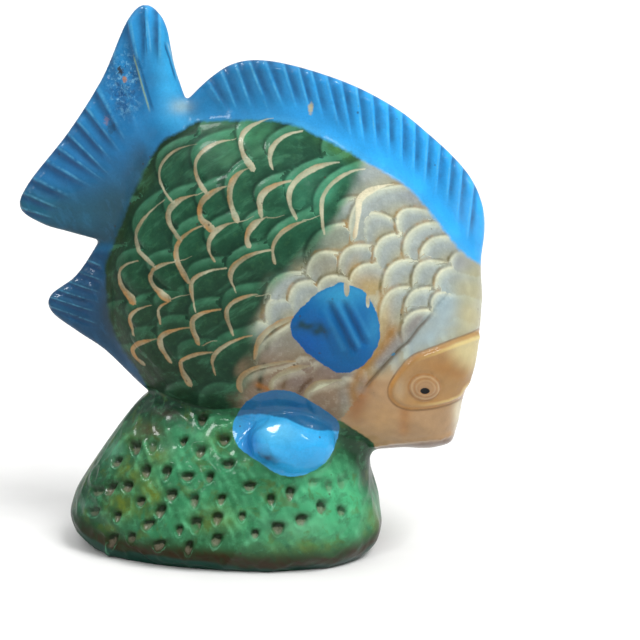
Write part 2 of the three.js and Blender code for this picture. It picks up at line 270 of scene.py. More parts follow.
def gradient(p, e=0.12):
    g = np.empty_like(p)
    for k in range(3):
        d = np.zeros(3); d[k] = e
        a, b = p + d, p - d
        g[:, k] = (form(a[:, 0], a[:, 1], a[:, 2]) - form(b[:, 0], b[:, 1], b[:, 2])) / (2 * e)
    return g


# ------------------------------------------------------------------ the skin
H = np.array([0.62, 1.0, 0.62])
LO = np.array([-78.5, -35.5, -1.6])
COARSE = 4
NC = np.ceil((np.array([77.5, 35.5, 179.5]) - LO) / (H * COARSE)).astype(int) + 1
cx, cy, cz = [LO[k] + np.arange(NC[k]) * H[k] * COARSE for k in range(3)]
fc = form(*[a.ravel() for a in np.meshgrid(cx, cy, cz, indexing='ij')]).reshape(NC)
lowc, highc = fc.copy(), fc.copy()
cell_lo = np.full(NC - 1, np.inf); cell_hi = np.full(NC - 1, -np.inf)
for a in (0, 1):
    for b in (0, 1):
        for c in (0, 1):
            s = fc[a:NC[0] - 1 + a, b:NC[1] - 1 + b, c:NC[2] - 1 + c]
            cell_lo = np.minimum(cell_lo, s); cell_hi = np.maximum(cell_hi, s)
near = (cell_lo < 3.2) & (cell_hi > -3.2)
m = near.repeat(COARSE, 0).repeat(COARSE, 1).repeat(COARSE, 2)
dims = np.array(m.shape) + 1
want = np.zeros(dims, bool)
for a in (0, 1):
    for b in (0, 1):
        for c in (0, 1):
            want[a:dims[0] - 1 + a, b:dims[1] - 1 + b, c:dims[2] - 1 + c] |= m
F = np.where(fc[:-1, :-1, :-1] < 0, -5.0, 5.0).astype(np.float32).repeat(COARSE, 0).repeat(COARSE, 1).repeat(COARSE, 2)
F = np.pad(F, ((0, 1), (0, 1), (0, 1)), mode='edge')
ii = np.argwhere(want)
for s in range(0, len(ii), 400000):
    q = ii[s:s + 400000]
    pts = LO + q * H
    F[q[:, 0], q[:, 1], q[:, 2]] = form(pts[:, 0], pts[:, 1], pts[:, 2])
del want, m, ii

inside = F < 0
count = np.zeros(dims - 1, np.uint8)
for a in (0, 1):
    for b in (0, 1):
        for c in (0, 1):
            count += inside[a:dims[0] - 1 + a, b:dims[1] - 1 + b, c:dims[2] - 1 + c]
active = (count > 0) & (count < 8)
ci = np.argwhere(active)
vid = np.full(dims - 1, -1, np.int32)
vid[active] = np.arange(len(ci))
corner = [(a, b, c) for a in (0, 1) for b in (0, 1) for c in (0, 1)]
val = {k: F[ci[:, 0] + k[0], ci[:, 1] + k[1], ci[:, 2] + k[2]].astype(float) for k in corner}
pos = np.zeros((len(ci), 3)); cnt = np.zeros(len(ci))
for k in corner:
    for ax in range(3):
        if k[ax] == 0:
            j = list(k); j[ax] = 1; j = tuple(j)
            fa, fb = val[k], val[j]
            cross = (fa < 0) != (fb < 0)
            t = np.where(cross, fa / np.where(cross, fa - fb, 1), 0)
            at = np.tile(np.array(k, float), (len(ci), 1))
            at[:, ax] = t
            pos += at * cross[:, None]
            cnt += cross
verts = LO + (ci + pos / cnt[:, None]) * H
quads = []
for ax in range(3):
    o1, o2 = (ax + 1) % 3, (ax + 2) % 3
    a = np.moveaxis(inside, (ax, o1, o2), (0, 1, 2))
    e = a[:-1, 1:-1, 1:-1] != a[1:, 1:-1, 1:-1]
    i = np.argwhere(e); i[:, 1:] += 1
    start_in = a[i[:, 0], i[:, 1], i[:, 2]]
    v = np.moveaxis(vid, (ax, o1, o2), (0, 1, 2))
    ring = np.stack([v[i[:, 0], i[:, 1] + d1, i[:, 2] + d2] for d1, d2 in ((-1, -1), (0, -1), (0, 0), (-1, 0))], 1)
    ring[~start_in] = ring[~start_in][:, ::-1]
    quads.append(ring)
quads = np.vstack(quads)
del F, inside, count, active, vid

for _ in range(3):
    f = form(verts[:, 0], verts[:, 1], verts[:, 2])
    g = gradient(verts)
    step = f / np.maximum((g * g).sum(1), 0.05)
    move = -g * step[:, None]
    size = np.linalg.norm(move, axis=1)
    verts += move * np.minimum(1, 0.4 / np.maximum(size, 1e-9))[:, None]
flat = verts[:, 2] < 0.02
verts[flat, 2] = 0.0
d0 = np.linalg.norm(verts[quads[:, 0]] - verts[quads[:, 2]], axis=1)
d1 = np.linalg.norm(verts[quads[:, 1]] - verts[quads[:, 3]], axis=1)
tris = np.where((d0 <= d1)[:, None, None], quads[:, [[0, 1, 2], [0, 2, 3]]], quads[:, [[0, 1, 3], [1, 2, 3]]]).reshape(-1, 3)
print("skin", len(verts), "verts", len(tris), "tris")



# ---------------------------------------------------------------- the pattern
# Crescent strokes of a round brush: top, leftmost point, bottom, width, warmth, width of the
# blob it ends in, and how straight its upper part runs.
STROKES = [
    ((199, 145), (160, 175), (175, 204), 3.2, 0.45, 3.0, 0.0), ((232, 141), (196, 169), (208, 194), 4.4, 0.4, 4.6, 0.0),
    ((274, 118), (241, 143), (254, 171), 5.0, 0.1, 8.0, 0.1), ((303, 131), (270, 158), (273, 170), 5.2, 0.05, 3.6, 0.1),
    ((339, 163), (289, 197), (297, 220), 6.6, 0.0, 3.0, 0.1), ((365, 169), (321, 206), (324, 235), 4.8, 0.15, 3.0, 0.1),
    ((166, 200), (137, 240), (156, 266), 3.8, 0.4, 5.4, 0.6), ((199, 195), (169, 217), (182, 240), 5.8, 0.6, 5.0, 0.1),
    ((231, 186), (200, 212), (215, 231), 5.8, 0.8, 8.5, 0.2), ((250, 169), (230, 194), (238, 222), 6.0, 0.5, 6.4, 0.1),
    ((291, 182), (260, 203), (262, 218), 6.4, 0.35, 5.6, 0.1), ((307, 221), (273, 250), (275, 264), 4.8, 0.55, 3.0, 0.2),
    ((140, 261), (120, 276), (137, 303), 4.2, 0.7, 8.0, 0.1), ((176, 262), (151, 277), (171, 300), 4.8, 0.75, 7.0, 0.1),
    ((203, 226), (177, 252), (190, 283), 4.8, 0.85, 6.4, 0.3), ((237, 222), (209, 247), (216, 262), 5.4, 0.5, 2.4, 0.1),
    ((268, 217), (247, 239), (250, 247), 6.4, 0.6, 6.2, 0.3), ((153, 305), (131, 320), (136, 335), 4.0, 0.8, 3.4, 0.1),
    ((170, 302), (159, 311), (162, 324), 3.4, 0.8, 2.6, 0.3), ((228, 268), (192, 285), (197, 312), 4.4, 0.45, 2.6, 0.0),
    ((272, 250), (231, 275), (237, 293), 5.6, 0.5, 2.6, 0.1), ((161, 338), (133, 350), (145, 365), 5.0, 1.0, 4.0, 0.1),
    ((191, 327), (161, 339), (172, 363), 5.2, 0.85, 4.6, 0.1), ((222, 309), (193, 322), (200, 344), 5.2, 0.8, 5.6, 0.0),
    ((258, 294), (227, 312), (234, 335), 5.0, 0.6, 3.0, 0.1), ((214, 351), (181, 363), (192, 385), 4.6, 0.95, 5.6, 0.1),
    ((253, 335), (213, 361), (216, 375), 4.4, 0.8, 3.0, 0.2), ((302, 316), (256, 352), (255, 359), 6.8, 0.75, 4.0, 0.1),
    ((296, 361), (239.5, 382), (242, 391), 5.0, 0.75, 6.0, 0.0), ((313, 365), (271, 385), (272, 389), 6.4, 0.45, 5.0, 0.1),
    ((342, 380), (306, 395), (307, 400), 7.6, 0.40, 6.0, 0.0),
]
WHISKERS = [((302, 221), (312, 219), (321, 215)), ((172, 299), (181, 296), (192, 294)), ((255, 296), (263, 295), (271, 292)),
            ((196, 196), (202, 194), (208, 192)), ((239, 222), (247, 220), (255, 216)), ((174, 262), (184, 260), (193, 256)),
            ((203, 345), (211, 341), (219, 340)), ((266, 218), (275, 218), (285, 215)), ((231, 141), (233, 141), (237, 139))]
BAND = ((394, 184), (358, 205), (354, 238), 7.0, 0.2, 5.0, 0.2)
FACE_UP = np.array([-0.927, -0.375])      # the way a scale's free edge looks
ALONG = np.array([0.375, -0.927])
PILLOWS = [
    ((366, 198), (341, 200), (331, 214)), ((353, 223), (322, 229), (306, 250)), ((390, 217), (367, 214), (360, 240)),
    ((418, 208), (398, 213), (397, 232)), ((373, 245), (345, 249), (338, 268)), ((400, 233), (379, 240), (373, 261)),
    ((429, 222), (407, 234), (403, 254)), ((446, 235), (427, 241), (418, 258)), ((473, 250), (457, 256), (448, 264)),
    ((338, 252), (315, 254), (306, 275)), ((346, 277), (324, 277), (316, 292)), ((315, 280), (295, 284), (288, 302)),
    ((294, 271), (271, 281), (264, 318)), ((282, 296), (269, 300), (265, 316)), ((378, 262), (357, 267), (349, 280)),
    ((414, 259), (390, 265), (382, 292)), ((441, 261), (418, 264), (412, 285)), ((457, 267), (439, 271), (434, 289)),
    ((407, 286), (388, 292), (379, 314)), ((431, 287), (411, 292), (403, 313)), ((446, 291), (433, 295), (430, 309)),
    ((430, 309), (408, 314), (401, 334)),
]


def cubic(a, b, c, d, n):
    t = np.linspace(0, 1, n + 1)[:, None]
    return (1 - t) ** 3 * a + 3 * t * (1 - t) ** 2 * b + 3 * t * t * (1 - t) * c + t ** 3 * d


def bow(top, left, bottom, straight=0.0, n=14):
    """A crescent: a quarter oval down to its leftmost point, then a shorter curve back."""
    T, M, B = np.array(top, float), np.array(left, float), np.array(bottom, float)
    a, b = T[0] - M[0], M[1] - T[1]
    k = 0.52 - 0.22 * straight
    one = cubic(T, T + [-k * a, b * (0.05 + 0.28 * straight)], M + [0, -k * b], M, n)
    two = cubic(M, M + [0, 0.42 * (B[1] - M[1])], B - [0.5 * (B[0] - M[0]), 0.32 * (B[1] - M[1])], B, n)
    return np.vstack([one, two[1:]])


def scale_list():
    """Each scale as a bowed free edge: middle of its chord, half chord, facing, rise, length."""
    out = []

    def add(top, left, bottom, high, length, turn, shift, soft=2.2):
        top, left, bottom = (np.array(q, float) + shift for q in (top, left, bottom))
        mid = (top + bottom) / 2
        c, s = math.cos(math.radians(turn)), math.sin(math.radians(turn))
        top, left, bottom = (mid + [(q - mid)[0] * c - (q - mid)[1] * s, (q - mid)[0] * s + (q - mid)[1] * c] for q in (top, left, bottom))
        chord = top - bottom
        B = np.linalg.norm(chord) / 2
        e = chord / (2 * B)
        d = np.array([e[1], -e[0]])
        if d @ (left - mid) < 0:
            d = -d
        out.append((mid, B, e, d, max((left - mid) @ d, 6.0), (left - mid) @ e * 0.6, high, length, soft))

    for k, (top, left, bottom, *_) in enumerate(STROKES):
        on_belly = k >= 27
        add(top, left, bottom, 1.0 if not on_belly else 0.7, 46.0, 0 if on_belly else 8, (-1, -1) if on_belly else (-4.0, -14.0))
    add(*BAND[:3], 0.9, 40.0, 4, (-3, 0))
    for top, left, bottom in PILLOWS:
        add(top, left, bottom, 0.80, 33.0, 0, (0, 0), 3.0)
    # a few plain ones round the border, where no stroke was painted
    for c in ((152, 176), (126, 214), (112, 262), (214, 133), (338, 148), (215, 400), (116, 318), (122, 362), (180, 398), (112, 240)):
        c = np.array(c, float)
        add(c + ALONG * 22, c + FACE_UP * 17, c - ALONG * 22, 0.75, 42.0, 12, (0, 0))
    return out


def scales(u, v):
    """Height of the overlapping scales, 0 to 1; how far behind its free edge and how far up its
    side each point lies on the scale that shows there; the distance to the nearest edge seen,
    + on the scale that owns it and - on the one it covers; and how far along that edge."""
    best = np.zeros(u.shape); second = np.zeros(u.shape)
    who = np.full(u.shape, -1)
    back_of = np.ones(u.shape); up_of = np.zeros(u.shape); rim_of = np.full(u.shape, 30.0)
    kept = []
    for k, (mid, B, e, d, A, bl, high, length, soft) in enumerate(scale_list()):
        near = np.where((np.abs(u - mid[0]) < 76) & (np.abs(v - mid[1]) < 76))[0]
        pu, pv = u[near] - mid[0], v[near] - mid[1]
        a, b = pu * d[0] + pv * d[1], pu * e[0] + pv * e[1]
        s = b / B
        for _ in range(3):
            s = b / B - bl / B * (1 - np.minimum(s * s, 1.5))
        back = A * (1 - s * s) - a
        rim = back / np.sqrt(1 + (2 * A * s / B) ** 2)
        side = 1 - 0.40 * np.minimum(s * s, 2.0)
        h = high * (1 - np.exp(-np.maximum(rim, 0) / soft)) * np.maximum(0, 1 - (np.maximum(back, 0) / length) ** 1.15) * side
        h = np.where(back > 0, h, 0)
        old = best[near]
        win = h > old
        second[near] = np.where(win, old, np.maximum(second[near], h))
        best[near] = np.where(win, h, old)
        who[near] = np.where(win, k, who[near])
        back_of[near] = np.where(win, back / length, back_of[near])
        up_of[near] = np.where(win, s, up_of[near])
        rim_of[near] = np.where(win, rim, rim_of[near])
        kept.append((near, rim, high * side * 0.8, s, k))
    edge = np.full(u.shape, 22.0)
    along = np.zeros(u.shape)
    for near, rim, plateau, s, k in kept:
        rival = np.where(who[near] == k, second[near], best[near])
        shows = (plateau > rival + 0.05) & (np.abs(s) < 1.5)
        nearer = shows & (np.abs(rim + 0.8) < np.abs(edge[near]))
        edge[near] = np.where(nearer, rim + 0.8, edge[near])
        along[near] = np.where(nearer, s, along[near])
    return best, back_of, up_of, rim_of, edge, along


DORSAL_RAYS = [((209, 84), (227, 112)), ((223, 75), (238, 114)), ((237, 68), (253, 114)), ((251, 66), (269, 113)),
               ((267, 67), (284, 110)), ((284, 68), (297, 111)), ((299, 71), (311, 117)), ((312, 76), (324, 125)),
               ((328, 85), (340, 131)), ((342, 91), (352, 144)), ((357, 96), (364, 148)), ((372, 103), (376, 152)),
               ((387, 113), (389, 160)), ((401, 124), (401, 170)), ((414, 133), (413, 179)), ((427, 142), (424, 187)),
               ((439, 151), (435, 195)), ((450, 161), (446, 208)), ((461, 174), (456, 226)), ((472, 192), (466, 246))]
TAIL_RAYS = [((160, 22), (160, 70)), ((147, 18), (146, 60)), ((133, 34), (150, 116)), ((116, 58), (138, 130)), ((98, 88), (128, 146)),
             ((88, 109), (122, 154)), ((79, 122), (114, 163)), ((69, 134), (113, 179)), ((58, 147), (106, 182)),
             ((47, 160), (92, 187)), ((34, 178), (76, 200)), ((24, 193), (62, 210)), ((20, 207), (56, 219))]
ANAL_RAYS = [((92, 262), (112, 270)), ((80, 272), (106, 282)), ((70, 282), (101, 293)), ((62, 291), (100, 303)),
             ((56, 299), (100, 313)), ((55, 308), (104, 326))]


def ray_field(u, v, rays, width):
    """Running number of the ray at each point and how strongly it is modelled there."""
    d, q = [], []
    for a, b in rays:
        a, b = np.array(a, float), np.array(b, float)
        t = b - a
        L = np.linalg.norm(t); t = t / L
        n = np.array([-t[1], t[0]])
        d.append((u - a[0]) * n[0] + (v - a[1]) * n[1])
        q.append(((u - a[0]) * t[0] + (v - a[1]) * t[1]) / L)
    d, q = np.array(d), np.array(q)
    # which side the row runs to
    a0, b0 = np.array(rays[0][0], float), np.array(rays[0][1], float)
    t0 = (b0 - a0) / np.linalg.norm(b0 - a0)
    n0 = np.array([-t0[1], t0[0]])
    way = np.sign((np.array(rays[-1][0], float) - a0) @ n0)
    d = d * way
    past = d > 0
    k = np.clip(past.sum(0) - 1, 0, len(rays) - 2)
    idx = np.arange(len(u))
    da, db = d[k, idx], d[k + 1, idx]
    span = np.where(np.abs(da - db) < 1e-6, 1e-6, da - db)
    f = np.clip(da / span, -0.6, 1.6)
    place = q[k, idx] * (1 - np.clip(f, 0, 1)) + q[k + 1, idx] * np.clip(f, 0, 1)
    out = np.maximum(f - 1, 0) + np.maximum(-f, 0)
    m = sstep(-0.45, -0.15, place) * (1 - sstep(0.42, 1.04, place)) * (1 - sstep(0.25, 0.75, out))
    return k + f, m, np.abs(span)


PITS = [(202, 417), (224, 437), (183, 439), (200, 449), (135, 445), (116, 459), (228, 462), (146, 469), (166, 470), (187, 474),
        (209, 475), (110, 486), (127, 484), (140, 499), (171, 493), (194, 498), (221, 497), (249, 484), (271, 498), (290, 491),
        (93, 509), (118, 514), (160, 509), (217, 516), (242, 514), (301, 518), (321, 505), (342, 509), (313, 480), (329, 484),
        (342, 480), (148, 522), (179, 528), (196, 522), (216, 538), (255, 532), (278, 526), (111, 539), (131, 536), (160, 542),
        (189, 545), (152, 443), (98, 489)]
SHALLOW = {(313, 480): 0.4, (329, 484): 0.5, (342, 480): 0.45, (152, 443): 0.5, (98, 489): 0.6, (93, 509): 0.7, (342, 509): 0.8}

GILL = crom([(454, 289), (444, 299), (431, 315), (418, 329), (408, 342), (400, 349), (390, 360), (380, 371), (372, 380), (364, 390)], 4)
MASK = crom_closed([(500, 323), (476, 333.5), (452, 342.5), (431, 350.5), (416, 356), (406.5, 363.5), (397, 376), (391, 387),
                    (391, 396), (396, 402.5), (405, 407), (417, 408), (436, 405.8), (451, 401.5), (461, 396), (468, 386), (490, 372)], 4)
PECTORAL = crom_closed([(340, 283), (325, 289), (312, 297), (300, 309), (291, 323), (294, 338), (312, 356), (333, 370), (346, 372.5),
                        (362, 366), (377, 347), (380, 330), (376, 311), (365, 293), (352, 286)], 4)
PATCH = crom_closed([(233, 434), (236, 418), (243, 406), (252, 396.5), (263, 391.5), (278, 389), (290, 390), (302, 395.5), (316, 403.5),
                     (330, 413.5), (338, 421), (339, 430), (335, 445),
                     (327, 457), (311, 471), (296, 476), (278, 474), (256, 460), (240, 448)], 4)
BODY_EDGE = crom([(150, 405), (143, 380), (120, 345), (110, 320), (106, 290), (105, 265), (115, 240), (125, 215), (135, 190),
                  (150, 160), (163, 140), (178, 133), (195, 122), (225, 121), (260, 120), (290, 124), (310, 132), (345, 150),
                  (364, 161), (400, 182), (420, 200), (440, 225), (460, 250), (480, 265)], 3)
BODY_POLY = np.vstack([BODY_EDGE, [(560, 290), (560, 520), (150, 520)]])
CREAM_LINE = crom([(380, 140), (364, 161), (352, 188), (322, 240), (305, 259), (276, 280), (263, 300), (257, 340), (246, 372),
                   (240, 400), (236, 440)], 4)
CREASE = crom([(90, 420), (120, 396), (150, 388), (170, 399), (190, 406), (212, 410), (240, 408), (270, 407), (292, 410), (315, 422),
               (327, 421), (340, 421), (347, 424.5), (356, 430.5), (366, 437), (373.5, 443.5), (378, 452), (400, 470)], 3)
LIP = crom([(372, 446.5), (386, 443.5), (400, 442), (415, 440.8), (430, 439.6), (443, 437.6), (452, 434)], 3)


def spot(u, v, cu, cv, ru, rv, turn=0.0):
    """A soft round patch of weight, 1 in the middle."""
    c, s = math.cos(math.radians(turn)), math.sin(math.radians(turn))
    a, b = (u - cu) * c + (v - cv) * s, -(u - cu) * s + (v - cv) * c
    return np.exp(-((a / ru) ** 2 + (b / rv) ** 2))


def line_weight(u, v, points, width):
    d, _, _ = seg_dist(u, v, np.array(points, float))
    return np.exp(-(d / width) ** 2)


def layout(p0):
    """Everything the pattern needs at the plain surface's points."""
    q = p0.copy(); q[:, 1] = -np.abs(q[:, 1])
    u, v = project(q)
    g = gradient(p0)
    n = g / np.linalg.norm(g, axis=1)[:, None]
    m = n.copy(); m[:, 1] = np.where(p0[:, 1] > 0, -n[:, 1], n[:, 1])
    face = m @ BACK
    seen = 1 - sstep(-1.5, 1.5, p0[:, 1])
    return u, v, n, face, seen


def fields(p0):
    u, v, n, face, seen = layout(p0)
    L = {'u': u, 'v': v, 'n': n, 'face': face, 'seen': seen}
    L['body'] = poly_sdf(u, v, BODY_POLY)
    d, s, _ = seg_dist(u, v, CREAM_LINE)
    L['cream'] = d * -s                              # + towards the head
    d, s, _ = seg_dist(u, v, CREASE)
    L['rock'] = d * s                                # + on the rock
    L['mask'] = poly_sdf(u, v, MASK)
    d, s, _ = seg_dist(u, v, LIP)
    L['lip'] = np.where((v > 424) & (u > 364), d * s, -20)       # + below the jaw's edge
    L['pad'] = poly_sdf(u, v, PECTORAL)
    L['patch'] = poly_sdf(u, v, PATCH)
    d, s, t = seg_dist(u, v, GILL)
    L['gill'], L['gillt'] = -d * s, t               # + towards the face
    below = sstep(-3, 9, L['gill']) * sstep(292, 310, v)
    throat = sstep(-9, 9, (u - 358) + 0.28 * (v - 400)) * sstep(366, 384, v)
    L['head'] = np.clip(np.maximum(np.maximum(below, throat), sstep(446, 462, u)), 0, 1)
    L['throat'] = throat
    d, s, _ = seg_dist(u, v, crom([(215, 425), (232, 417), (246, 413.8), (264, 414.3), (284, 417.6), (302, 424.3), (321, 430), (342, 431)], 3))
    L['sunk'] = np.where(v > 381, d * s, 20)
    L['eye'] = np.hypot((u - 423.5) / 15.0, (v - 386.5) / 12.8)
    L['sh'], L['sb'], L['ss'], L['sr'], L['edge'], L['es'] = scales(u, v)
    tail = sstep(-4, 4, (186 - u) - 0.0 * v) * (1 - sstep(228, 244, v))
    anal = (1 - sstep(120, 140, u)) * sstep(246, 256, v)
    rc1, rm1, g1 = ray_field(u, v, DORSAL_RAYS, 14)
    rc2, rm2, g2 = ray_field(u, v, TAIL_RAYS, 14)
    rc3, rm3, g3 = ray_field(u, v, ANAL_RAYS, 10)
    use3, use2 = anal > 0.5, (tail > 0.5) & ~(anal > 0.5)
    L['rayc'] = np.where(use3, rc3, np.where(use2, rc2, rc1)) + np.where(use3, 60, np.where(use2, 30, 0))
    L['raym'] = np.where(use3, rm3 * 0.9, np.where(use2, rm2, rm1)) * sstep(2, 9, L['body'])
    L['raym'] *= np.where(use2, 1 - 0.75 * spot(u, v, 116, 84, 15, 26, -25), 1.0)
    L['kind'] = np.where(use3, 2, np.where(use2, 1, 0))
    L['tailness'] = sstep(196, 180, u) * sstep(252, 238, v)
    L['analness'] = sstep(160, 140, u) * sstep(238, 256, v)
    pit = np.full(u.shape, 3.0); pitv = np.zeros(u.shape); deep = np.zeros(u.shape)
    for k, (cu, cv) in enumerate(PITS):
        strong = SHALLOW.get((cu, cv), 1.0)
        hidden = 1.0 if k % 2 == 0 else 0.0
        dv = (v - cv - 2.6) / (6.6 + 1.5 * math.cos(k * 1.7))
        du = (u - cu) / (5.0 + 1.2 * math.sin(k * 2.3)) * (1 + 0.36 * np.clip(dv, -1.2, 1.2))
        r = (np.abs(du + (0.14 + 0.16 * math.sin(k * 4.1)) * dv) ** 2.4 + np.abs(dv) ** 2.4) ** (1 / 2.4)
        w = strong * (seen + (1 - seen) * hidden * 0.8)
        take = (r < pit) & (w > 0.05)
        pit = np.where(take, r, pit); pitv = np.where(take, dv, pitv); deep = np.where(take, w, deep)
    L['pit'], L['pitv'], L['deep'] = pit, pitv, deep
    return L


def relief(L, p0):
    u, v, seen = L['u'], L['v'], L['seen']
    on_body = sstep(0, 9, -L['body'])
    off_rock = sstep(0, 10, -L['rock'])
    head = L['head']
    scaly = on_body * off_rock * (1 - head) * (1 - sstep(6, -4, L['pad']))
    edge_fade = sstep(4, 22, -L['body'])
    h = 1.20 * L['sh'] * scaly * (0.35 + 0.65 * edge_fade) * (0.8 + 0.2 * seen)
    # the fins' fluting
    f = L['rayc'] - np.floor(L['rayc'])
    saw = np.where(f < 0.26, 1 - sstep(0.0, 0.26, f), sstep(0.26, 1.0, f) ** 1.3)
    uneven = 0.8 + 0.25 * np.sin(np.floor(L['rayc']) * 2.4 + 1.0) + 0.12 * lumps(p0, 15.0, 40, 8)
    h += (saw - 0.55) * 1.15 * uneven * L['raym'] * (0.75 + 0.25 * seen) * sstep(0.40, 0.86, L['face'])
    # the tail's worn patch, lumpy under the paint
    worn = spot(u, v, 120, 84, 15, 30, -20) * seen * (L['kind'] == 1)
    h += worn * (0.34 * lumps(p0, 4.2, 8, 7) + 0.24 * lumps(p0, 2.1, 16, 8))
    h -= 0.8 * spot(u, v, 122, 74, 3.4, 4.6, 20) * seen
    h -= 0.3 * spot(u, v, 105, 120, 3.0, 5.0, -40) * seen
    # pectoral pad and its two strokes of the tool
    pad = sstep(3.5, -6.5, L['pad'])
    dome = sstep(0, 34, -L['pad'])
    h = h * (1 - sstep(1, -3, L['pad'])) + pad * (0.75 + 0.75 * dome)
    for a, b, w, deep in (((330, 304), (353, 350), 3.1, 1.05), ((344, 303), (364, 343), 3.0, 1.0), ((318, 322), (332, 354), 3.4, 0.30),
                          ((306, 322), (316, 340), 3.0, 0.18)):
        d, _, t = seg_dist(u, v, np.array([a, b], float))
        h -= deep * np.exp(-(d / w) ** 2) * pad
    # gill: a groove with a rounded welt on its body side
    gl, gt = L['gill'], L['gillt']
    along = sstep(0.0, 0.10, gt) * (1 - sstep(0.95, 1.0, gt))
    h -= 0.80 * np.exp(-(gl / 2.2) ** 2) * along
    h += 1.15 * np.exp(-((gl + 5.6) / 4.4) ** 2) * along * sstep(0.15, 0.70, gt)
    h += 0.45 * sstep(0, 5, gl) * np.exp(-(gl / 26) ** 2) * along
    # face mask, eye
    mk = L['mask']
    h += 0.80 * sstep(2.2, -3.0, mk) + 0.22 * np.exp(-((mk + 4.0) / 2.4) ** 2) - 0.30 * np.exp(-((mk - 1.8) / 2.0) ** 2)
    e = L['eye']
    h += 1.15 * np.sqrt(np.clip(1 - np.minimum(e, 1) ** 2.6, 0, 1)) - 0.34 * np.exp(-((e - 0.74) / 0.08) ** 2) - 0.26 * np.exp(-((e - 1.10) / 0.10) ** 2)
    h -= 0.16 * np.exp(-((e - 0.46) / 0.07) ** 2)
    # the cast seam along the jaw
    lp = L['lip']
    h += 0.42 * np.exp(-(lp / 1.7) ** 2) + 0.10 * lumps(p0, 2.3, 6, 8) * np.exp(-(lp / 2.6) ** 2)
    h -= 0.45 * np.exp(-(np.hypot((u - 422.9) / 4.6, (v - 389.6) / 3.4)) ** 4)
    # cheek and belly folds
    h += 0.30 * line_weight(u, v, [(378, 398), (368, 412), (360, 424)], 7)
    h -= 0.25 * line_weight(u, v, [(404, 412), (405, 428)], 5)
    # rock: pits pressed with a tool from below, and soft lumps between them
    rocky = sstep(1, 7, L['rock'])
    r, dv = L['pit'], L['pitv']
    bowl = np.exp(-(r / 0.86) ** 4) * (0.95 - 0.42 * np.clip(dv, -1, 1))
    rim = np.exp(-((r - 1.25) / 0.32) ** 2) * (0.6 + 0.4 * np.clip(dv, -1, 1))
    offp = sstep(-2, 6, L['patch']) * seen + (1 - seen)
    h += rocky * L['deep'] * offp * (-1.6 * bowl + 0.34 * rim)
    h += rocky * 0.42 * lumps(p0, 13.0, 0, 8)
    h += rocky * 0.40 * (np.exp(-(lumps(p0, 9.0, 16, 8) / 0.5) ** 2) - 0.5) * (0.35 + 0.65 * sstep(350, 220, u))
    h -= rocky * seen * 0.30 * line_weight(u, v, [(302, 541), (322, 543), (341, 536), (349, 528)], 2.6)
    h += rocky * seen * 0.16 * line_weight(u, v, [(304, 535), (322, 537), (338, 531)], 3.0)
    h -= rocky * seen * 0.20 * line_weight(u, v, [(180, 424), (166, 428), (150, 442), (132, 458)], 1.8)
    # the whole skin was sponged in the mould
    h += 0.10 * lumps(p0, 22.0, 24, 8) + 0.035 * lumps(p0, 5.0, 32, 8)
    return h * sstep(0.10, 0.42, L['face'])


# --------------------------------------------------------------- colour layers
def lin(r, g, b):
    c = np.array([r, g, b], float) / 255
    return np.where(c <= 0.04045, c / 12.92, ((c + 0.055) / 1.055) ** 2.4)


def mix(a, b, w):
    w = np.clip(w, 0, 1)[:, None]
    return a * (1 - w) + b * w


def flat_colour(n, *rgb):
    return np.tile(lin(*rgb), (n, 1))


def fin_paint(L, p0):
    u, v, seen, k = L['u'], L['v'], L['seen'], L['kind']
    n = len(u)
    dorsal, tail, anal = (k == 0) * 1.0, L['tailness'], L['analness']
    c = flat_colour(n, 22, 116, 168)
    c = mix(c, lin(38, 160, 232), sstep(250, 400, u) * (1 - tail))
    c = mix(c, lin(30, 136, 200), spot(u, v, 320, 100, 50, 24, 12) * dorsal * 0.5)
    c = mix(c, lin(44, 152, 206), tail * (1 - sstep(0, 24, np.abs(u - 166 - 0.14 * (v - 60)))) * (1 - sstep(112, 150, v)))
    c = mix(c, lin(36, 142, 204), tail * spot(u, v, 150, 16, 22, 26))
    c = mix(c, lin(10, 88, 136), tail * sstep(100, 150, v - 0.25 * (u - 100)) * 0.85)
    c = mix(c, lin(12, 74, 94), tail * sstep(0, 1, (v - 168 - 0.12 * (u - 20)) / 36) * 0.9)
    c = mix(c, lin(22, 68, 84), spot(u, v, 116, 206, 30, 34, -10) * 0.9)
    c = mix(c, lin(28, 66, 82), spot(u, v, 140, 172, 15, 30, 12) * 0.85)
    c = mix(c, lin(12, 50, 66), tail * sstep(212, 240, v) * 0.7)
    c = mix(c, lin(4, 54, 84), anal * 0.95)
    c = mix(c, lin(16, 76, 108), anal * spot(u, v, 62, 290, 13, 22) * 0.7)
    c = mix(c, lin(14, 38, 44), spot(u, v, 110, 320, 10, 26, -8) * 0.7)
    c = mix(c, lin(14, 92, 150), spot(u, v, 124, 96, 26, 36, -20) * seen * 0.55)
    # a pale painted highlight in the hollow behind the tail, with lighter blue below it
    c = mix(c, lin(150, 178, 184), spot(u, v, 181, 107, 11, 8) * 0.75)
    c = mix(c, lin(56, 150, 200), spot(u, v, 188, 121, 14, 8) * 0.7)
    c = mix(c, lin(60, 150, 196), dorsal * sstep(9, 3, L['body']) * sstep(240, 300, u) * 0.35)
    return c * (1 + 0.06 * lumps(p0, 9.0, 3, 8))[:, None]


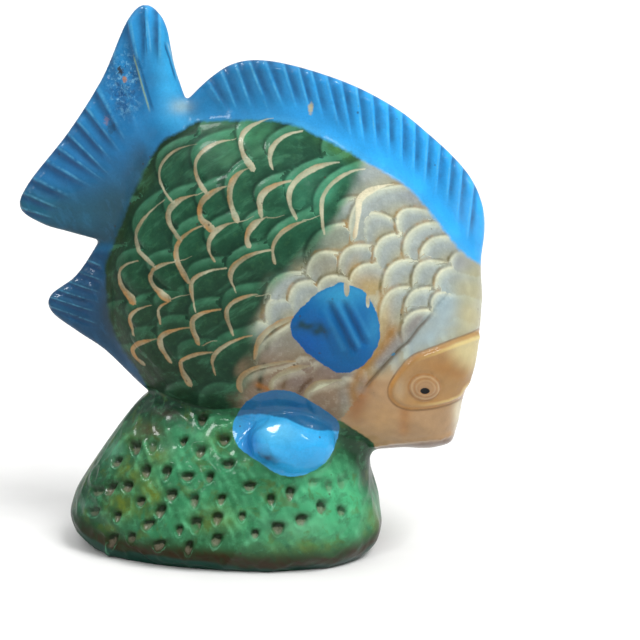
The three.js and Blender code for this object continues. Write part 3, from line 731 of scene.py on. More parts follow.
def body_paint(L, p0):
    u, v, seen = L['u'], L['v'], L['seen']
    n = len(u)
    sb, sr = L['sb'], L['sr']
    wob = lumps(p0, 7.0, 12, 8)
    g = flat_colour(n, 32, 76, 54)
    # painted shade: each scale's green darkens towards its back, where it goes under its neighbour
    g = mix(g, lin(20, 50, 38), sstep(0.30, 0.80, sb) * 0.62)
    g = mix(g, lin(54, 112, 78), (spot(u, v, 222, 138, 34, 14, -10) + spot(u, v, 255, 134, 22, 10)) * (0.75 + 0.3 * wob))
    g = mix(g, lin(56, 124, 96), (spot(u, v, 322, 190, 20, 34, 35) + spot(u, v, 292, 178, 14, 14) * 0.7) * (0.62 + 0.3 * wob))
    # painted light along the upper edges of two scales
    g = mix(g, lin(76, 130, 96), spot(u, v, 230, 161, 10, 5, -30) * 0.7 + spot(u, v, 262, 150, 12, 5, -30) * 0.5)
    g = mix(g, lin(74, 122, 62), spot(u, v, 345, 152, 26, 9, 28) * 0.7)
    # painted shade: the green darker towards the lower left
    g = mix(g, lin(24, 44, 28), 0.55 * sstep(210, 320, v) * sstep(330, 250, u))
    g = mix(g, lin(30, 48, 24), sstep(-26, -3, L['body']) * sstep(240, 150, u) * 0.85)
    g = mix(g, lin(16, 34, 22), spot(u, v, 172, 150, 16, 10, -45) * 0.8)
    g = mix(g, lin(14, 32, 24), spot(u, v, 222, 262, 16, 22) * 0.3)
    # painted shade on the lower left of the body and along the belly above the rock
    g = mix(g, lin(28, 46, 26), spot(u, v, 150, 345, 34, 46, 20) * 0.5)
    g = mix(g, lin(26, 42, 24), spot(u, v, 172, 382, 34, 22) * 0.7)
    g = mix(g, lin(26, 48, 32), spot(u, v, 196, 404, 64, 12, 6) * 0.9)
    pale = flat_colour(n, 158, 166, 152)
    pale = mix(pale, lin(138, 148, 148), sstep(3.0, 11.0, sr) * sstep(0.75, 0.35, sb) * 0.8)
    pale = mix(pale, lin(112, 116, 112), sstep(0.22, 0.62, sb) * 0.40)
    pale = mix(pale, lin(150, 138, 96), sstep(0.46, 0.95, sb) * 0.55)
    pale = mix(pale, lin(112, 118, 90), spot(u, v, 338, 232, 22, 16) * 0.5 + spot(u, v, 320, 256, 16, 22) * 0.4)
    pale = mix(pale, lin(124, 128, 132), spot(u, v, 413, 200, 16, 7, 40) * 0.6 + spot(u, v, 462, 262, 11, 9) * 0.8)
    pale = mix(pale, lin(122, 110, 84), spot(u, v, 330, 268, 24, 18) * 0.4)
    # the sprayed gold round the pads and the gill
    pale = mix(pale, lin(170, 140, 78), (spot(u, v, 366, 286, 18, 13) + spot(u, v, 383, 322, 11, 24) + 0.7 * spot(u, v, 352, 270, 5, 14, 20)) * 0.62)
    pale = mix(pale, lin(138, 96, 36), line_weight(u, v, [(392, 332), (383, 350), (362, 368), (352, 388), (356, 402)], 8) * 0.85)
    pale = mix(pale, lin(120, 112, 106), line_weight(u, v, [(418, 318), (404, 332), (394, 346), (380, 362)], 5) * 0.8)
    pale = mix(pale, lin(118, 96, 74), sstep(318, 372, v - 0.1 * (u - 300)) * sstep(356, 334, u) * 0.9)
    pale = mix(pale, lin(112, 100, 98), (spot(u, v, 296, 378, 14, 12, 20) + spot(u, v, 330, 368, 22, 12, 20)) * 0.6)
    pale = mix(pale, lin(108, 100, 82), spot(u, v, 288, 336, 14, 20) * 0.6)
    # the dark lines beside the belly's strokes are painted shadow; the last, orange line is a smudge of paint
    for line, w, tint, k in ((((311, 379), (303, 385.5), (299.5, 393)), 2.3, (72, 46, 24), 0.8), (((287, 373), (283.5, 386)), 2.2, (84, 58, 28), 0.7),
                             (((265, 365), (261, 374), (260, 388)), 3.0, (34, 40, 24), 0.9), (((281, 322), (272, 333), (266, 346)), 3.6, (56, 54, 36), 0.75),
                             (((258, 384), (268, 388)), 2.6, (146, 92, 40), 0.8)):
        pale = mix(pale, lin(*tint), line_weight(u, v, list(line), w) * k)
    pale = mix(pale, lin(158, 156, 124), sstep(16, 56, u - 436 + 0.4 * (v - 250)) * 0.6)
    pale = mix(pale, lin(140, 160, 166), (spot(u, v, 444, 305, 14, 18) + spot(u, v, 428, 336, 24, 12, -35)) * 0.85)
    pale = mix(pale, lin(168, 160, 120), spot(u, v, 470, 318, 10, 18) * 0.7)
    pale = mix(pale, lin(122, 120, 116), line_weight(u, v, [(414, 322), (404, 338), (388, 356), (380, 366)], 6) * 0.75)
    tan = flat_colour(n, 150, 119, 83)
    tan = mix(tan, lin(178, 138, 88), spot(u, v, 380, 418, 24, 16) * 0.6)
    tan = mix(tan, lin(148, 96, 40), line_weight(u, v, [(405, 411), (404, 430)], 6) * 0.6)
    tan = mix(tan, lin(134, 88, 38), line_weight(u, v, [(374, 362), (362, 382), (355, 400), (356, 414)], 8) * 0.75)
    tan = mix(tan, lin(92, 66, 50), sstep(0.5, 4.0, L['lip']) * 0.85)
    tan = mix(tan, lin(196, 186, 156), spot(u, v, 459, 414, 6, 20) * 0.95)
    tan = mix(tan, lin(134, 84, 36), spot(u, v, 359, 398, 9, 16, 15) * 0.75)
    tan = mix(tan, lin(150, 116, 78), spot(u, v, 366, 420, 12, 12) * 0.4)
    mask = flat_colour(n, 146, 110, 64)
    mask = mix(mask, lin(188, 176, 128), sstep(0, 1, (u - 431 - 0.55 * (v - 340)) / 27) * sstep(388, 352, v) * 0.9)
    mask = mix(mask, lin(146, 114, 80), (L['eye'] < 1.05) * 0.7)
    mask = mix(mask, lin(142, 96, 36), (spot(u, v, 442, 368, 17, 7, 15) + spot(u, v, 457, 375, 8, 6)) * 0.6)
    mask = mix(mask, lin(156, 140, 112), spot(u, v, 399, 388, 6, 12) * 0.5)
    mask = mix(mask, lin(150, 114, 62), spot(u, v, 455, 384, 14, 12) * 0.5)
    cheek = np.maximum(sstep(352, 382, v - 0.10 * (430 - u)) * sstep(-1, 6, L['gill']), L['throat'])
    pale = mix(pale, tan, cheek)
    pale = mix(pale, mask, sstep(1.6, -1.6, L['mask']))
    greener = 1 - sstep(-12, 14, L['cream'] + 5 * wob)
    out = mix(pale, g, greener)
    return out * (1 + 0.06 * lumps(p0, 3.6, 20, 8) * (0.6 + greener))[:, None]


# where the brown glaze pooled along the rock's foot
LOW_U = [66, 76, 103, 121, 150, 190, 247, 290, 333, 361, 377, 384]
LOW_V = [512, 524, 541, 549, 552, 555, 563.5, 563.5, 559, 551.5, 536, 514]


def rock_paint(L, p0):
    u, v, seen = L['u'], L['v'], L['seen']
    n = len(u)
    wob, fine = lumps(p0, 9.0, 5, 8), lumps(p0, 3.2, 26, 8)
    ridges = np.exp(-(lumps(p0, 9.0, 16, 8) / 0.42) ** 2)
    c = flat_colour(n, 42, 102, 66)
    # lighter green here and there, most over the middle and right of the front: partly the paint's own tone, partly
    # painted light
    c = mix(c, lin(56, 140, 96), 0.2 * wob + 0.15 + 0.35 * spot(u, v, 205, 440, 34, 34) + 0.85 * spot(u, v, 335, 505, 50, 34))
    c = mix(c, lin(74, 176, 122), spot(u, v, 344, 500, 34, 30) * 0.65)
    c = mix(c, lin(92, 156, 114), spot(u, v, 302, 528, 24, 12) * 0.6)
    # painted shade: darker towards the left side
    c = mix(c, lin(28, 72, 46), sstep(186, 96, u) * 0.75)
    olive = (1.2 * spot(u, v, 132, 473, 13, 12) + 1.2 * spot(u, v, 120, 505, 14, 12) + spot(u, v, 152, 492, 12, 12) + 0.9 * spot(u, v, 215, 520, 20, 14)
             + 0.8 * spot(u, v, 300, 548, 40, 8) + 0.8 * spot(u, v, 158, 455, 12, 10) + 1.0 * spot(u, v, 374, 526, 9, 22) + 0.6 * spot(u, v, 218, 440, 14, 14)
             + 0.9 * spot(u, v, 108, 529, 8, 5) + 0.7 * spot(u, v, 134, 440, 10, 8))
    c = mix(c, lin(84, 100, 30), np.clip(olive * (0.70 + 0.35 * wob + 0.25 * fine), 0, 0.92))
    # painted highlight: lighter mint along the ridges between the pits
    c = mix(c, lin(92, 176, 128), ridges * (0.14 + 0.28 * fine) * sstep(76, 150, u) * sstep(-6, -22, v - np.interp(u, LOW_U, LOW_V)))
    c = mix(c, lin(104, 170, 138), (spot(u, v, 83, 506, 9, 8) + 0.8 * spot(u, v, 113, 450, 8, 14, 20)) * 0.6)
    low = np.interp(u, LOW_U, LOW_V)
    c = mix(c, lin(34, 62, 28), sstep(-22, -2, v - low) * 0.8 * sstep(60, 90, u))
    c = mix(c, lin(42, 30, 10), np.exp(-(np.minimum(v - low, 0) / (8.5 + 2.2 * wob - 3.0 * sstep(260, 330, u))) ** 2) * (0.95 + 0.12 * fine))
    c = mix(c, lin(20, 56, 46), sstep(2.5, 5.5, v - low + 0.8 * wob))
    # painted shade under the belly: darker along the top of the rock near the belly, and round the neck
    c = mix(c, lin(22, 48, 38), sstep(30, 3, L['rock'] + 4 * wob) * (1 - sstep(180, 214, u)) * 0.85)
    c = mix(c, lin(26, 54, 36), sstep(10, 2, L['rock'] + 2 * wob) * 0.5)
    c = mix(c, lin(20, 52, 38), spot(u, v, 152, 408, 46, 15, 0) * 0.85)
    c = mix(c, lin(66, 42, 16), spot(u, v, 150, 430, 15, 9, 15) * 0.75 * seen)
    c = mix(c, lin(54, 34, 14), spot(u, v, 168, 414, 16, 5, 5) * 0.6 * seen)
    # painted shadow under the head, on the rock's upper right
    c = mix(c, lin(18, 50, 28), np.clip(spot(u, v, 354, 440, 16, 20, -20) * 1.4 + spot(u, v, 366, 466, 10, 34, -8) * 1.1, 0, 1) * 0.92)
    # painted shade: darker again along the far left
    c = mix(c, lin(18, 46, 32), sstep(116, 66, u + 0.25 * (v - 500)) * 0.85)
    return c * (1 + 0.07 * fine)[:, None]


def pad_paint(L, p0):
    u, v, seen = L['u'], L['v'], L['seen']
    n = len(u)
    fine = lumps(p0, 3.0, 30, 8)
    c = flat_colour(n, 14, 84, 140)
    c = mix(c, lin(52, 138, 176), spot(u, v, 344, 294, 30, 14) * 0.85 + spot(u, v, 374, 326, 9, 22) * 0.5)
    c = mix(c, lin(16, 74, 106), spot(u, v, 344, 348, 26, 12, 55) * 0.5)
    c = mix(c, lin(10, 74, 146), spot(u, v, 306, 344, 16, 16) * 0.6)
    # painted shade in the pad's two grooves, and painted light on the ridges beside them
    c = mix(c, lin(12, 56, 92), (line_weight(u, v, [(331, 307), (351, 345)], 3.0) + line_weight(u, v, [(345, 306), (362, 339)], 2.6)) * 0.55)
    c = mix(c, lin(52, 134, 178), (line_weight(u, v, [(338, 303), (359, 345)], 2.2) + 0.8 * line_weight(u, v, [(352, 302), (369, 335)], 2.0) + 0.6 * line_weight(u, v, [(325, 310), (343, 348)], 2.4)) * 0.5)
    c = mix(c, lin(24, 58, 70), (spot(u, v, 318, 328, 13, 6, 18) + spot(u, v, 302, 324, 10, 4)) * seen * (0.85 + 0.4 * fine))
    # the blue round the knob: bright on the rock, darker up on the belly; on the knob, painted light over its top,
    # painted shade down its left and a painted shadow at its lower left
    d = flat_colour(n, 44, 156, 214)
    d = mix(d, lin(90, 182, 220), spot(u, v, 278, 432, 24, 14) * 0.7)
    d = mix(d, lin(24, 104, 186), spot(u, v, 250, 444, 9, 18) * 0.8)
    d = mix(d, lin(44, 132, 176), spot(u, v, 240, 424, 8, 14) * 0.6)
    d = mix(d, lin(14, 44, 64), spot(u, v, 268, 459, 10, 6, 15) * 0.9 * seen * (0.85 + 0.25 * fine))
    return np.where((v > 381)[:, None], d, c)


def stroke_channels(L):
    """Four channels of (signed distance, half width) to the brush strokes, and their colour."""
    u, v = L['u'], L['v']
    n = len(u)
    todo = []
    for top, left, bottom, width, warm, end, straight in STROKES + [BAND]:
        todo.append((bow(top, left, bottom, straight), (width, end), warm, 'bow'))
    for pts in WHISKERS:
        todo.append((crom(pts, 5), 1.7, 0.3, 'hair'))
    # the next three lines run along glaze edges on the rock (warmth -1); the pale colour they get below is a painted
    # highlight
    todo.append((crom([(183, 423), (176, 427), (168, 436), (160, 447), (151, 458)], 4), 1.2, -1.0, 'hair'))
    todo.append((crom([(130, 438), (122, 446), (112, 458), (110, 470)], 4), 1.0, -1.0, 'hair'))
    todo.append((crom([(153, 470), (142, 480), (132, 488), (124, 500)], 4), 1.0, -1.0, 'hair'))
    chans = []
    for k in range(6):
        chans.append([np.full(n, 9.0), np.full(n, -6.0), []])
    tone = np.full(n, 0.5); near_all = np.full(n, 99.0)
    for line, width, warm, kind in todo:
        lo, hi = line.min(0) - 9, line.max(0) + 9
        m = (u > lo[0]) & (u < hi[0]) & (v > lo[1]) & (v < hi[1])
        d, s, t = seg_dist(u[m], v[m], line)
        # beyond the ends there is no stroke
        e0 = (u[m] - line[0][0]) * (line[0][0] - line[1][0]) + (v[m] - line[0][1]) * (line[0][1] - line[1][1])
        e1 = (u[m] - line[-1][0]) * (line[-1][0] - line[-2][0]) + (v[m] - line[-1][1]) * (line[-1][1] - line[-2][1])
        l0, l1 = np.linalg.norm(line[0] - line[1]), np.linalg.norm(line[-1] - line[-2])
        past = np.maximum(e0 / l0, e1 / l1)
        if kind == 'bow':
            hw, he = width[0] / 2, width[1] / 2
            w = hw * (0.30 + 0.70 * sstep(0.0, 0.40, t)) * (1 - sstep(0.66, 0.86, t)) + he * sstep(0.66, 0.88, t)
            w = w * (1 - 0.25 * sstep(0.93, 1.0, t)) + 0.14 * hw * np.sin(9 * t + line[0][0])
        elif kind == 'hair':
            hw = width / 2
            w = hw * (0.9 - 0.6 * t)
        else:
            hw = width / 2
            w = hw * (1 - 0.75 * t ** 1.5)
        w = w - np.maximum(past, 0) * 1.4
        for ch in chans:
            if all(np.min(np.hypot(*(other[:, None, :] - line[None, :, :]).transpose(2, 0, 1))) > 16 for other in ch[2]):
                break
        else:
            ch = chans[-1]
        ch[2].append(line)
        val = d * np.where(s == 0, 1, s)
        idx = np.where(m)[0]
        better = d < np.minimum(np.abs(ch[0][idx]), 8.0)
        ii = idx[better]
        ch[0][ii] = val[better]
        ch[1][ii] = np.where(d[better] > 5.2, -6.0, w[better])
        nb = d < near_all[idx]
        near_all[idx[nb]] = d[nb]
        tone[idx[nb]] = warm if warm < 0 else np.clip(0.82 * warm + 0.14 * np.sin(6 * t[nb] + line[0][1]) + 0.11 * d[nb] * s[nb], 0, 1)
    tone = np.where(tone < 0, tone, np.clip(tone + 0.16 * L['wob'], 0, 1))
    col = mix(np.tile(lin(176, 178, 152), (n, 1)), lin(150, 134, 104), tone * 1.5)
    col = mix(col, lin(170, 122, 68), (tone - 0.62) * 2.4)
    col = mix(col, lin(120, 110, 84), sstep(330, 400, v) * (tone > 0) * 0.5)
    # pale colour of the rock's glaze lines: a painted highlight
    col = mix(col, lin(150, 205, 178), (tone < 0) * 1.0)
    return chans, col


# -------------------------------------------------------------- mesh and thin-out
L0 = fields(verts)
lift = relief(L0, verts)
skin = verts + L0['n'] * lift[:, None]
BOX_LO = np.array(cad_box[0]) * 1000 - OFF
BOX_HI = np.array(cad_box[1]) * 1000 - OFF
skin = np.clip(skin, BOX_LO + 0.02, BOX_HI - 0.02)
skin[:, 2] = np.maximum(skin[:, 2], 0.0)
skin[verts[:, 2] <= 0.0, 2] = 0.0

mesh = bpy.data.meshes.new("skin")
mesh.vertices.add(len(skin)); mesh.vertices.foreach_set("co", (skin / 1000).astype(np.float32).ravel())
mesh.loops.add(len(tris) * 3); mesh.loops.foreach_set("vertex_index", tris.astype(np.int32).ravel())
mesh.polygons.add(len(tris)); mesh.polygons.foreach_set("loop_start", np.arange(0, len(tris) * 3, 3, dtype=np.int32))
mesh.polygons.foreach_set("loop_total", np.full(len(tris), 3, np.int32))
mesh.update(calc_edges=True)
obj = bpy.data.objects.new("fish_on_rock", mesh)
bpy.context.scene.collection.objects.link(obj)
front = (L0['face'] > 0.10) & (verts[:, 1] < 1.0)
group = obj.vertex_groups.new(name="thin")
group.add(np.where(~front)[0].tolist(), 1.0, 'REPLACE')
BUDGET = 194000
mod = obj.modifiers.new("thin", 'DECIMATE')
mod.ratio = BUDGET / len(tris)
mod.vertex_group = "thin"
dg = bpy.context.evaluated_depsgraph_get()
thin = bpy.data.meshes.new_from_object(obj.evaluated_get(dg))
obj.modifiers.clear()
obj.vertex_groups.clear()
obj.data = thin
bpy.data.meshes.remove(mesh)
mesh = thin
mesh.name = "fish_on_rock"
print("front verts", int(front.sum()), "final tris", len(mesh.polygons))

pts = np.empty(len(mesh.vertices) * 3); mesh.vertices.foreach_get("co", pts)
pts = pts.reshape(-1, 3) * 1000
base = pts.copy()
for _ in range(4):
    f = form(base[:, 0], base[:, 1], base[:, 2])
    g = gradient(base)
    move = -g * (f / np.maximum((g * g).sum(1), 0.05))[:, None]
    size = np.linalg.norm(move, axis=1)
    base += move * np.minimum(1, 0.6 / np.maximum(size, 1e-9))[:, None]
L = fields(base)
L['wob'] = lumps(base, 5.0, 22, 8)
L['gap'], L['own'] = np.abs(L['edge']), np.sign(L['edge'])
L['band'] = L['v'] - np.interp(L['u'], LOW_U, LOW_V)


def put(name, values, kind='FLOAT'):
    a = mesh.attributes.new(name, kind, 'POINT')
    if kind == 'FLOAT':
        a.data.foreach_set("value", np.asarray(values, np.float32))
    else:
        a.data.foreach_set("color", np.hstack([np.clip(values, 0, 1), np.ones((len(values), 1))]).astype(np.float32).ravel())


for name in ('edge', 'head', 'lip', 'sunk', 'body', 'rock', 'mask', 'pad', 'patch', 'gill', 'rayc', 'raym', 'pit', 'pitv', 'deep', 'seen', 'cream', 'es', 'band', 'gap', 'own'):
    put("f_" + name, L[name])
put("f_u", L['u']); put("f_v", L['v'])
chans, stroke_col = stroke_channels(L)
for k, ch in enumerate(chans):
    put("f_s%dv" % k, ch[0]); put("f_s%dw" % k, ch[1])
put("c_fin", fin_paint(L, base), 'FLOAT_COLOR')
put("c_body", body_paint(L, base), 'FLOAT_COLOR')
put("c_rock", rock_paint(L, base), 'FLOAT_COLOR')
put("c_pad", pad_paint(L, base), 'FLOAT_COLOR')
put("c_stroke", stroke_col, 'FLOAT_COLOR')
pts = (pts + OFF) / 1000
mesh.vertices.foreach_set("co", pts.astype(np.float32).ravel())
mesh.polygons.foreach_set("use_smooth", np.ones(len(mesh.polygons), bool))
mesh.update()


# ------------------------------------------------------------------ the finish
mat = bpy.data.materials.new("painted_earthenware")
mat.use_nodes = True
nt = mat.node_tree
nt.nodes.clear()


def node(kind, **props):
    n = nt.nodes.new(kind)
    for k, val in props.items():
        setattr(n, k, val)
    return n


def feed(socket, value):
    if isinstance(value, bpy.types.NodeSocket):
        nt.links.new(value, socket)
    elif isinstance(value, (tuple, list, np.ndarray)):
        socket.default_value = tuple(value) + ((1.0,) if len(value) == 3 and socket.type == 'RGBA' else ())
    else:
        socket.default_value = value


def m2(op, a, b=0.0, c=0.0, clamp=False):
    n = node('ShaderNodeMath', operation=op, use_clamp=clamp)
    feed(n.inputs[0], a); feed(n.inputs[1], b); feed(n.inputs[2], c)
    return n.outputs[0]


def ramp(x, a, b, lo=0.0, hi=1.0):
    n = node('ShaderNodeMapRange', interpolation_type='SMOOTHSTEP', clamp=True)
    flip = a > b
    feed(n.inputs['Value'], x)
    feed(n.inputs['From Min'], b if flip else a); feed(n.inputs['From Max'], a if flip else b)
    feed(n.inputs['To Min'], hi if flip else lo); feed(n.inputs['To Max'], lo if flip else hi)
    return n.outputs['Result']


def blend(fac, a, b, how='MIX'):
    n = node('ShaderNodeMix', data_type='RGBA', blend_type=how)
    feed(n.inputs[0], fac); feed(n.inputs[6], a); feed(n.inputs[7], b)
    return n.outputs[2]


def at(name, colour=False):
    n = node('ShaderNodeAttribute', attribute_name=name)
    return n.outputs['Color' if colour else 'Fac']


coords = node('ShaderNodeTexCoord').outputs['Object']


def noise(scale, detail=3.0, rough=0.55, dist=0.0):
    n = node('ShaderNodeTexNoise')
    feed(n.inputs['Vector'], coords); feed(n.inputs['Scale'], scale); feed(n.inputs['Detail'], detail)
    feed(n.inputs['Roughness'], rough); feed(n.inputs['Distortion'], dist)
    return n.outputs['Fac']


def srgb(r, g, b):
    return tuple(float(x) for x in lin(r, g, b))


hand = m2('SUBTRACT', noise(420, 3, 0.6), 0.5)              # how the painter's hand wavered
grain = m2('SUBTRACT', noise(1500, 4, 0.65), 0.5)
cloud = m2('SUBTRACT', noise(160, 4, 0.6), 0.5)
U, V = at('f_u'), at('f_v')


def brushed(ax, az, scale, stretch, detail=4.0):
    """Noise drawn out along a direction in the ornament's own plane, as a brush leaves it."""
    sep = node('ShaderNodeSeparateXYZ'); feed(sep.inputs[0], coords)
    x, y, z = sep.outputs
    along_it = m2('MULTIPLY', m2('ADD', m2('MULTIPLY', x, ax), m2('MULTIPLY', z, az)), stretch)
    across = m2('SUBTRACT', m2('MULTIPLY', z, ax), m2('MULTIPLY', x, az))
    join = node('ShaderNodeCombineXYZ')
    feed(join.inputs[0], along_it); feed(join.inputs[1], y); feed(join.inputs[2], across)
    n = node('ShaderNodeTexNoise')
    feed(n.inputs['Vector'], join.outputs[0]); feed(n.inputs['Scale'], scale); feed(n.inputs['Detail'], detail)
    feed(n.inputs['Roughness'], 0.62)
    return m2('SUBTRACT', n.outputs['Fac'], 0.5)


streak = brushed(0.82, 0.57, 300.0, 0.26)
streak_x = brushed(0.50, -0.86, 420.0, 0.40)

# blue fins: lighter along the ridges and darker in the flutes, partly thin and pooled paint, partly painted light on
# the ridges and painted shade in the flutes
fin = at('c_fin', True)
phase = m2('FRACT', at('f_rayc'))
raym = at('f_raym')
ridge_thin_and_lit = m2('MULTIPLY', m2('ADD', ramp(phase, 0.12, 0.0), ramp(phase, 0.86, 1.0)), raym, clamp=True)
flute_pooled_and_shaded = m2('MULTIPLY', m2('MULTIPLY', ramp(phase, 0.06, 0.20), ramp(phase, 0.80, 0.28)), raym, clamp=True)
fin = blend(m2('MULTIPLY', flute_pooled_and_shaded, m2('ADD', m2('ADD', 0.60, m2('MULTIPLY', ramp(U, 200, 170), 0.08)), m2('ADD', m2('MULTIPLY', hand, 0.4), m2('MULTIPLY', cloud, 0.9))), clamp=True), fin, srgb(8, 56, 98))
fin = blend(m2('MULTIPLY', ridge_thin_and_lit, m2('ADD', 0.26, m2('MULTIPLY', hand, 1.6)), clamp=True), fin, srgb(92, 172, 204))
fin = blend(m2('MULTIPLY', ramp(streak_x, 0.02, 0.20), 0.06), fin, srgb(60, 150, 214))
fin = blend(m2('MULTIPLY', ramp(streak_x, -0.03, -0.22), 0.08), fin, srgb(10, 62, 112))

fin = blend(0.03, fin, srgb(150, 150, 140))

# green, cream and tan body
body_mask = ramp(m2('ADD', at('f_body'), m2('MULTIPLY', hand, 5.0)), 2.4, -2.4)
green_side = ramp(m2('ADD', at('f_cream'), m2('MULTIPLY', hand, 8.0)), 10.0, -6.0)
body_col = at('c_body', True)
body_col = blend(m2('MULTIPLY', m2('MULTIPLY', ramp(streak, 0.0, 0.22), green_side), 0.26), body_col, srgb(78, 140, 106))
body_col = blend(m2('MULTIPLY', m2('MULTIPLY', ramp(streak, 0.0, -0.20), green_side), 0.30), body_col, srgb(14, 38, 28))
dab = m2('SUBTRACT', noise(560, 4, 0.7), 0.5)
body_col = blend(m2('MULTIPLY', m2('MULTIPLY', ramp(dab, 0.02, 0.16), green_side), 0.14), body_col, srgb(64, 110, 70))
plain = m2('SUBTRACT', 1.0, at('f_head'))
sprayed = m2('MULTIPLY', m2('SUBTRACT', 1.0, green_side), plain)
# each pale scale has a light rim along the upper part of its free edge, partly sprayed cream and partly painted light,
# and a duller hollow; pale_lit is painted light just inside that edge
signed = m2('ADD', at('f_edge'), m2('MULTIPLY', hand, 1.4))
gap = m2('ADD', at('f_gap'), m2('MULTIPLY', hand, 1.4))
far = ramp(gap, 4.0, 6.0)
near = m2('SUBTRACT', 1.0, far)
inside = m2('ADD', m2('MULTIPLY', near, ramp(signed, -0.8, 2.0)), m2('MULTIPLY', far, ramp(at('f_own'), -0.7, 0.7)))
along = at('f_es')
facing = m2('MULTIPLY', ramp(along, -1.3, -0.2), ramp(along, 1.45, 0.9))
off_belly = m2('MAXIMUM', ramp(V, 350, 326), ramp(U, 350, 376))
rim_spray_and_light = m2('MULTIPLY', m2('MULTIPLY', ramp(m2('ABSOLUTE', m2('SUBTRACT', signed, 2.2)), 2.4, 0.3), near), m2('MULTIPLY', facing, off_belly))
body_col = blend(m2('MULTIPLY', m2('MULTIPLY', rim_spray_and_light, sprayed), m2('ADD', 0.44, m2('MULTIPLY', cloud, 0.9)), clamp=True), body_col, srgb(208, 206, 172))
pale_lit = m2('MULTIPLY', m2('MULTIPLY', inside, ramp(gap, 9.0, 3.0)), facing)
body_col = blend(m2('MULTIPLY', m2('MULTIPLY', pale_lit, sprayed), 0.30), body_col, srgb(186, 190, 168))
# on the green, painted light lies along each scale's shoulders, stronger towards the top and right, and painted shade
# lies where each scale goes under its neighbour
toward_light = m2('ADD', m2('MULTIPLY', ramp(V, 340, 150), 0.6), m2('MULTIPLY', ramp(U, 190, 330), 0.4))
shoulder_light = m2('MULTIPLY', m2('MULTIPLY', inside, ramp(gap, 13.0, 2.5)), m2('MULTIPLY', ramp(along, -0.9, 0.3), ramp(along, 1.4, 0.6)))
shoulder_light = m2('MULTIPLY', shoulder_light, m2('ADD', 0.9, m2('MULTIPLY', cloud, 1.3)), clamp=True)
shoulder_light = m2('MULTIPLY', m2('MULTIPLY', shoulder_light, green_side), m2('ADD', 0.20, m2('MULTIPLY', toward_light, 0.58)), clamp=True)
body_col = blend(shoulder_light, body_col, srgb(74, 136, 104))
tucked_shade = m2('MULTIPLY', m2('MULTIPLY', m2('SUBTRACT', 1.0, inside), ramp(gap, 9.5, 2.0)), m2('MULTIPLY', green_side, ramp(m2('ABSOLUTE', along), 1.42, 0.95)))
body_col = blend(m2('MULTIPLY', tucked_shade, 0.36), body_col, srgb(18, 46, 34))
body_col = blend(m2('MULTIPLY', m2('MULTIPLY', ramp(dab, 0.0, 0.16), sprayed), 0.10), body_col, srgb(196, 198, 180))
body_col = blend(m2('MULTIPLY', m2('MULTIPLY', ramp(dab, 0.0, -0.16), sprayed), 0.14), body_col, srgb(112, 104, 80))
col = blend(body_mask, fin, body_col)

# painted shade in the creases between the scales, near-black on the green and olive-gold on the pale part
edge = m2('ABSOLUTE', m2('ADD', m2('ADD', at('f_edge'), 0.7), m2('MULTIPLY', hand, m2('ADD', 1.2, m2('MULTIPLY', green_side, 1.2)))))
scaly = m2('MULTIPLY', m2('SUBTRACT', 1.0, at('f_head')), body_mask)
lower_end = m2('MULTIPLY', ramp(along, 0.7, -0.9), 0.35)
ends = ramp(m2('ABSOLUTE', along), 1.42, 1.02)
crease_shade = m2('MULTIPLY', m2('MULTIPLY', m2('MULTIPLY', ramp(edge, 3.1, 0.1), near), scaly), m2('ADD', m2('ADD', 0.50, lower_end), m2('MULTIPLY', hand, 1.6)), clamp=True)
crease_shade = m2('MULTIPLY', m2('MULTIPLY', crease_shade, ends), m2('ADD', 0.40, m2('MULTIPLY', off_belly, 0.60)))
crease_shade_col = blend(ramp(noise(120, 3, 0.6), 0.44, 0.60), srgb(84, 76, 44), srgb(140, 106, 52))
crease_shade_col = blend(green_side, crease_shade_col, srgb(12, 34, 24))
col = blend(m2('MULTIPLY', crease_shade, m2('ADD', 0.76, m2('MULTIPLY', green_side, -0.18))), col, crease_shade_col)

# pale crescents
alpha = None
for k in range(6):
    vv = m2('ABSOLUTE', m2('ADD', at('f_s%dv' % k), m2('MULTIPLY', hand, 1.6)))
    a = ramp(m2('SUBTRACT', at('f_s%dw' % k), vv), -0.45, 0.95)
    alpha = a if alpha is None else m2('MAXIMUM', alpha, a)
alpha = m2('MULTIPLY', alpha, m2('ADD', 0.84, m2('ADD', m2('MULTIPLY', cloud, 1.2), m2('MULTIPLY', grain, 0.7))), clamp=True)
stroke = blend(m2('ADD', 0.5, m2('MULTIPLY', grain, 1.6), clamp=True), at('c_stroke', True), srgb(110, 98, 70))
stroke = blend(0.62, stroke, at('c_stroke', True))
on_pale = m2('MULTIPLY', m2('MULTIPLY', ramp(U, 350, 358), ramp(V, 250, 240)), m2('SUBTRACT', 1.0, green_side))
stroke = blend(m2('MULTIPLY', on_pale, 0.7), stroke, srgb(216, 208, 178))
col = blend(alpha, col, stroke)

# the gilt line round the face, and the dark in the gill
mk = m2('ABSOLUTE', m2('ADD', m2('SUBTRACT', at('f_mask'), 0.6), m2('MULTIPLY', hand, 1.2)))
seen_mask = ramp(U, 382, 388)
col = blend(m2('MULTIPLY', ramp(mk, 3.4, 0.6), 0.66), col, srgb(160, 108, 34))
rimline = m2('ABSOLUTE', m2('ADD', m2('SUBTRACT', at('f_mask'), 2.6), m2('MULTIPLY', hand, 1.0)))
col = blend(m2('MULTIPLY', ramp(rimline, 1.5, 0.2), m2('ADD', 0.50, m2('MULTIPLY', cloud, 1.2)), clamp=True), col, srgb(92, 62, 26))
inner = m2('ABSOLUTE', m2('ADD', m2('ADD', at('f_mask'), 3.2), m2('MULTIPLY', hand, 1.4)))
col = blend(m2('MULTIPLY', m2('MULTIPLY', ramp(inner, 2.6, 0.3), ramp(U, 408, 450)), 0.45), col, srgb(214, 190, 120))
gl = m2('ABSOLUTE', m2('ADD', at('f_gill'), m2('MULTIPLY', hand, 1.2)))
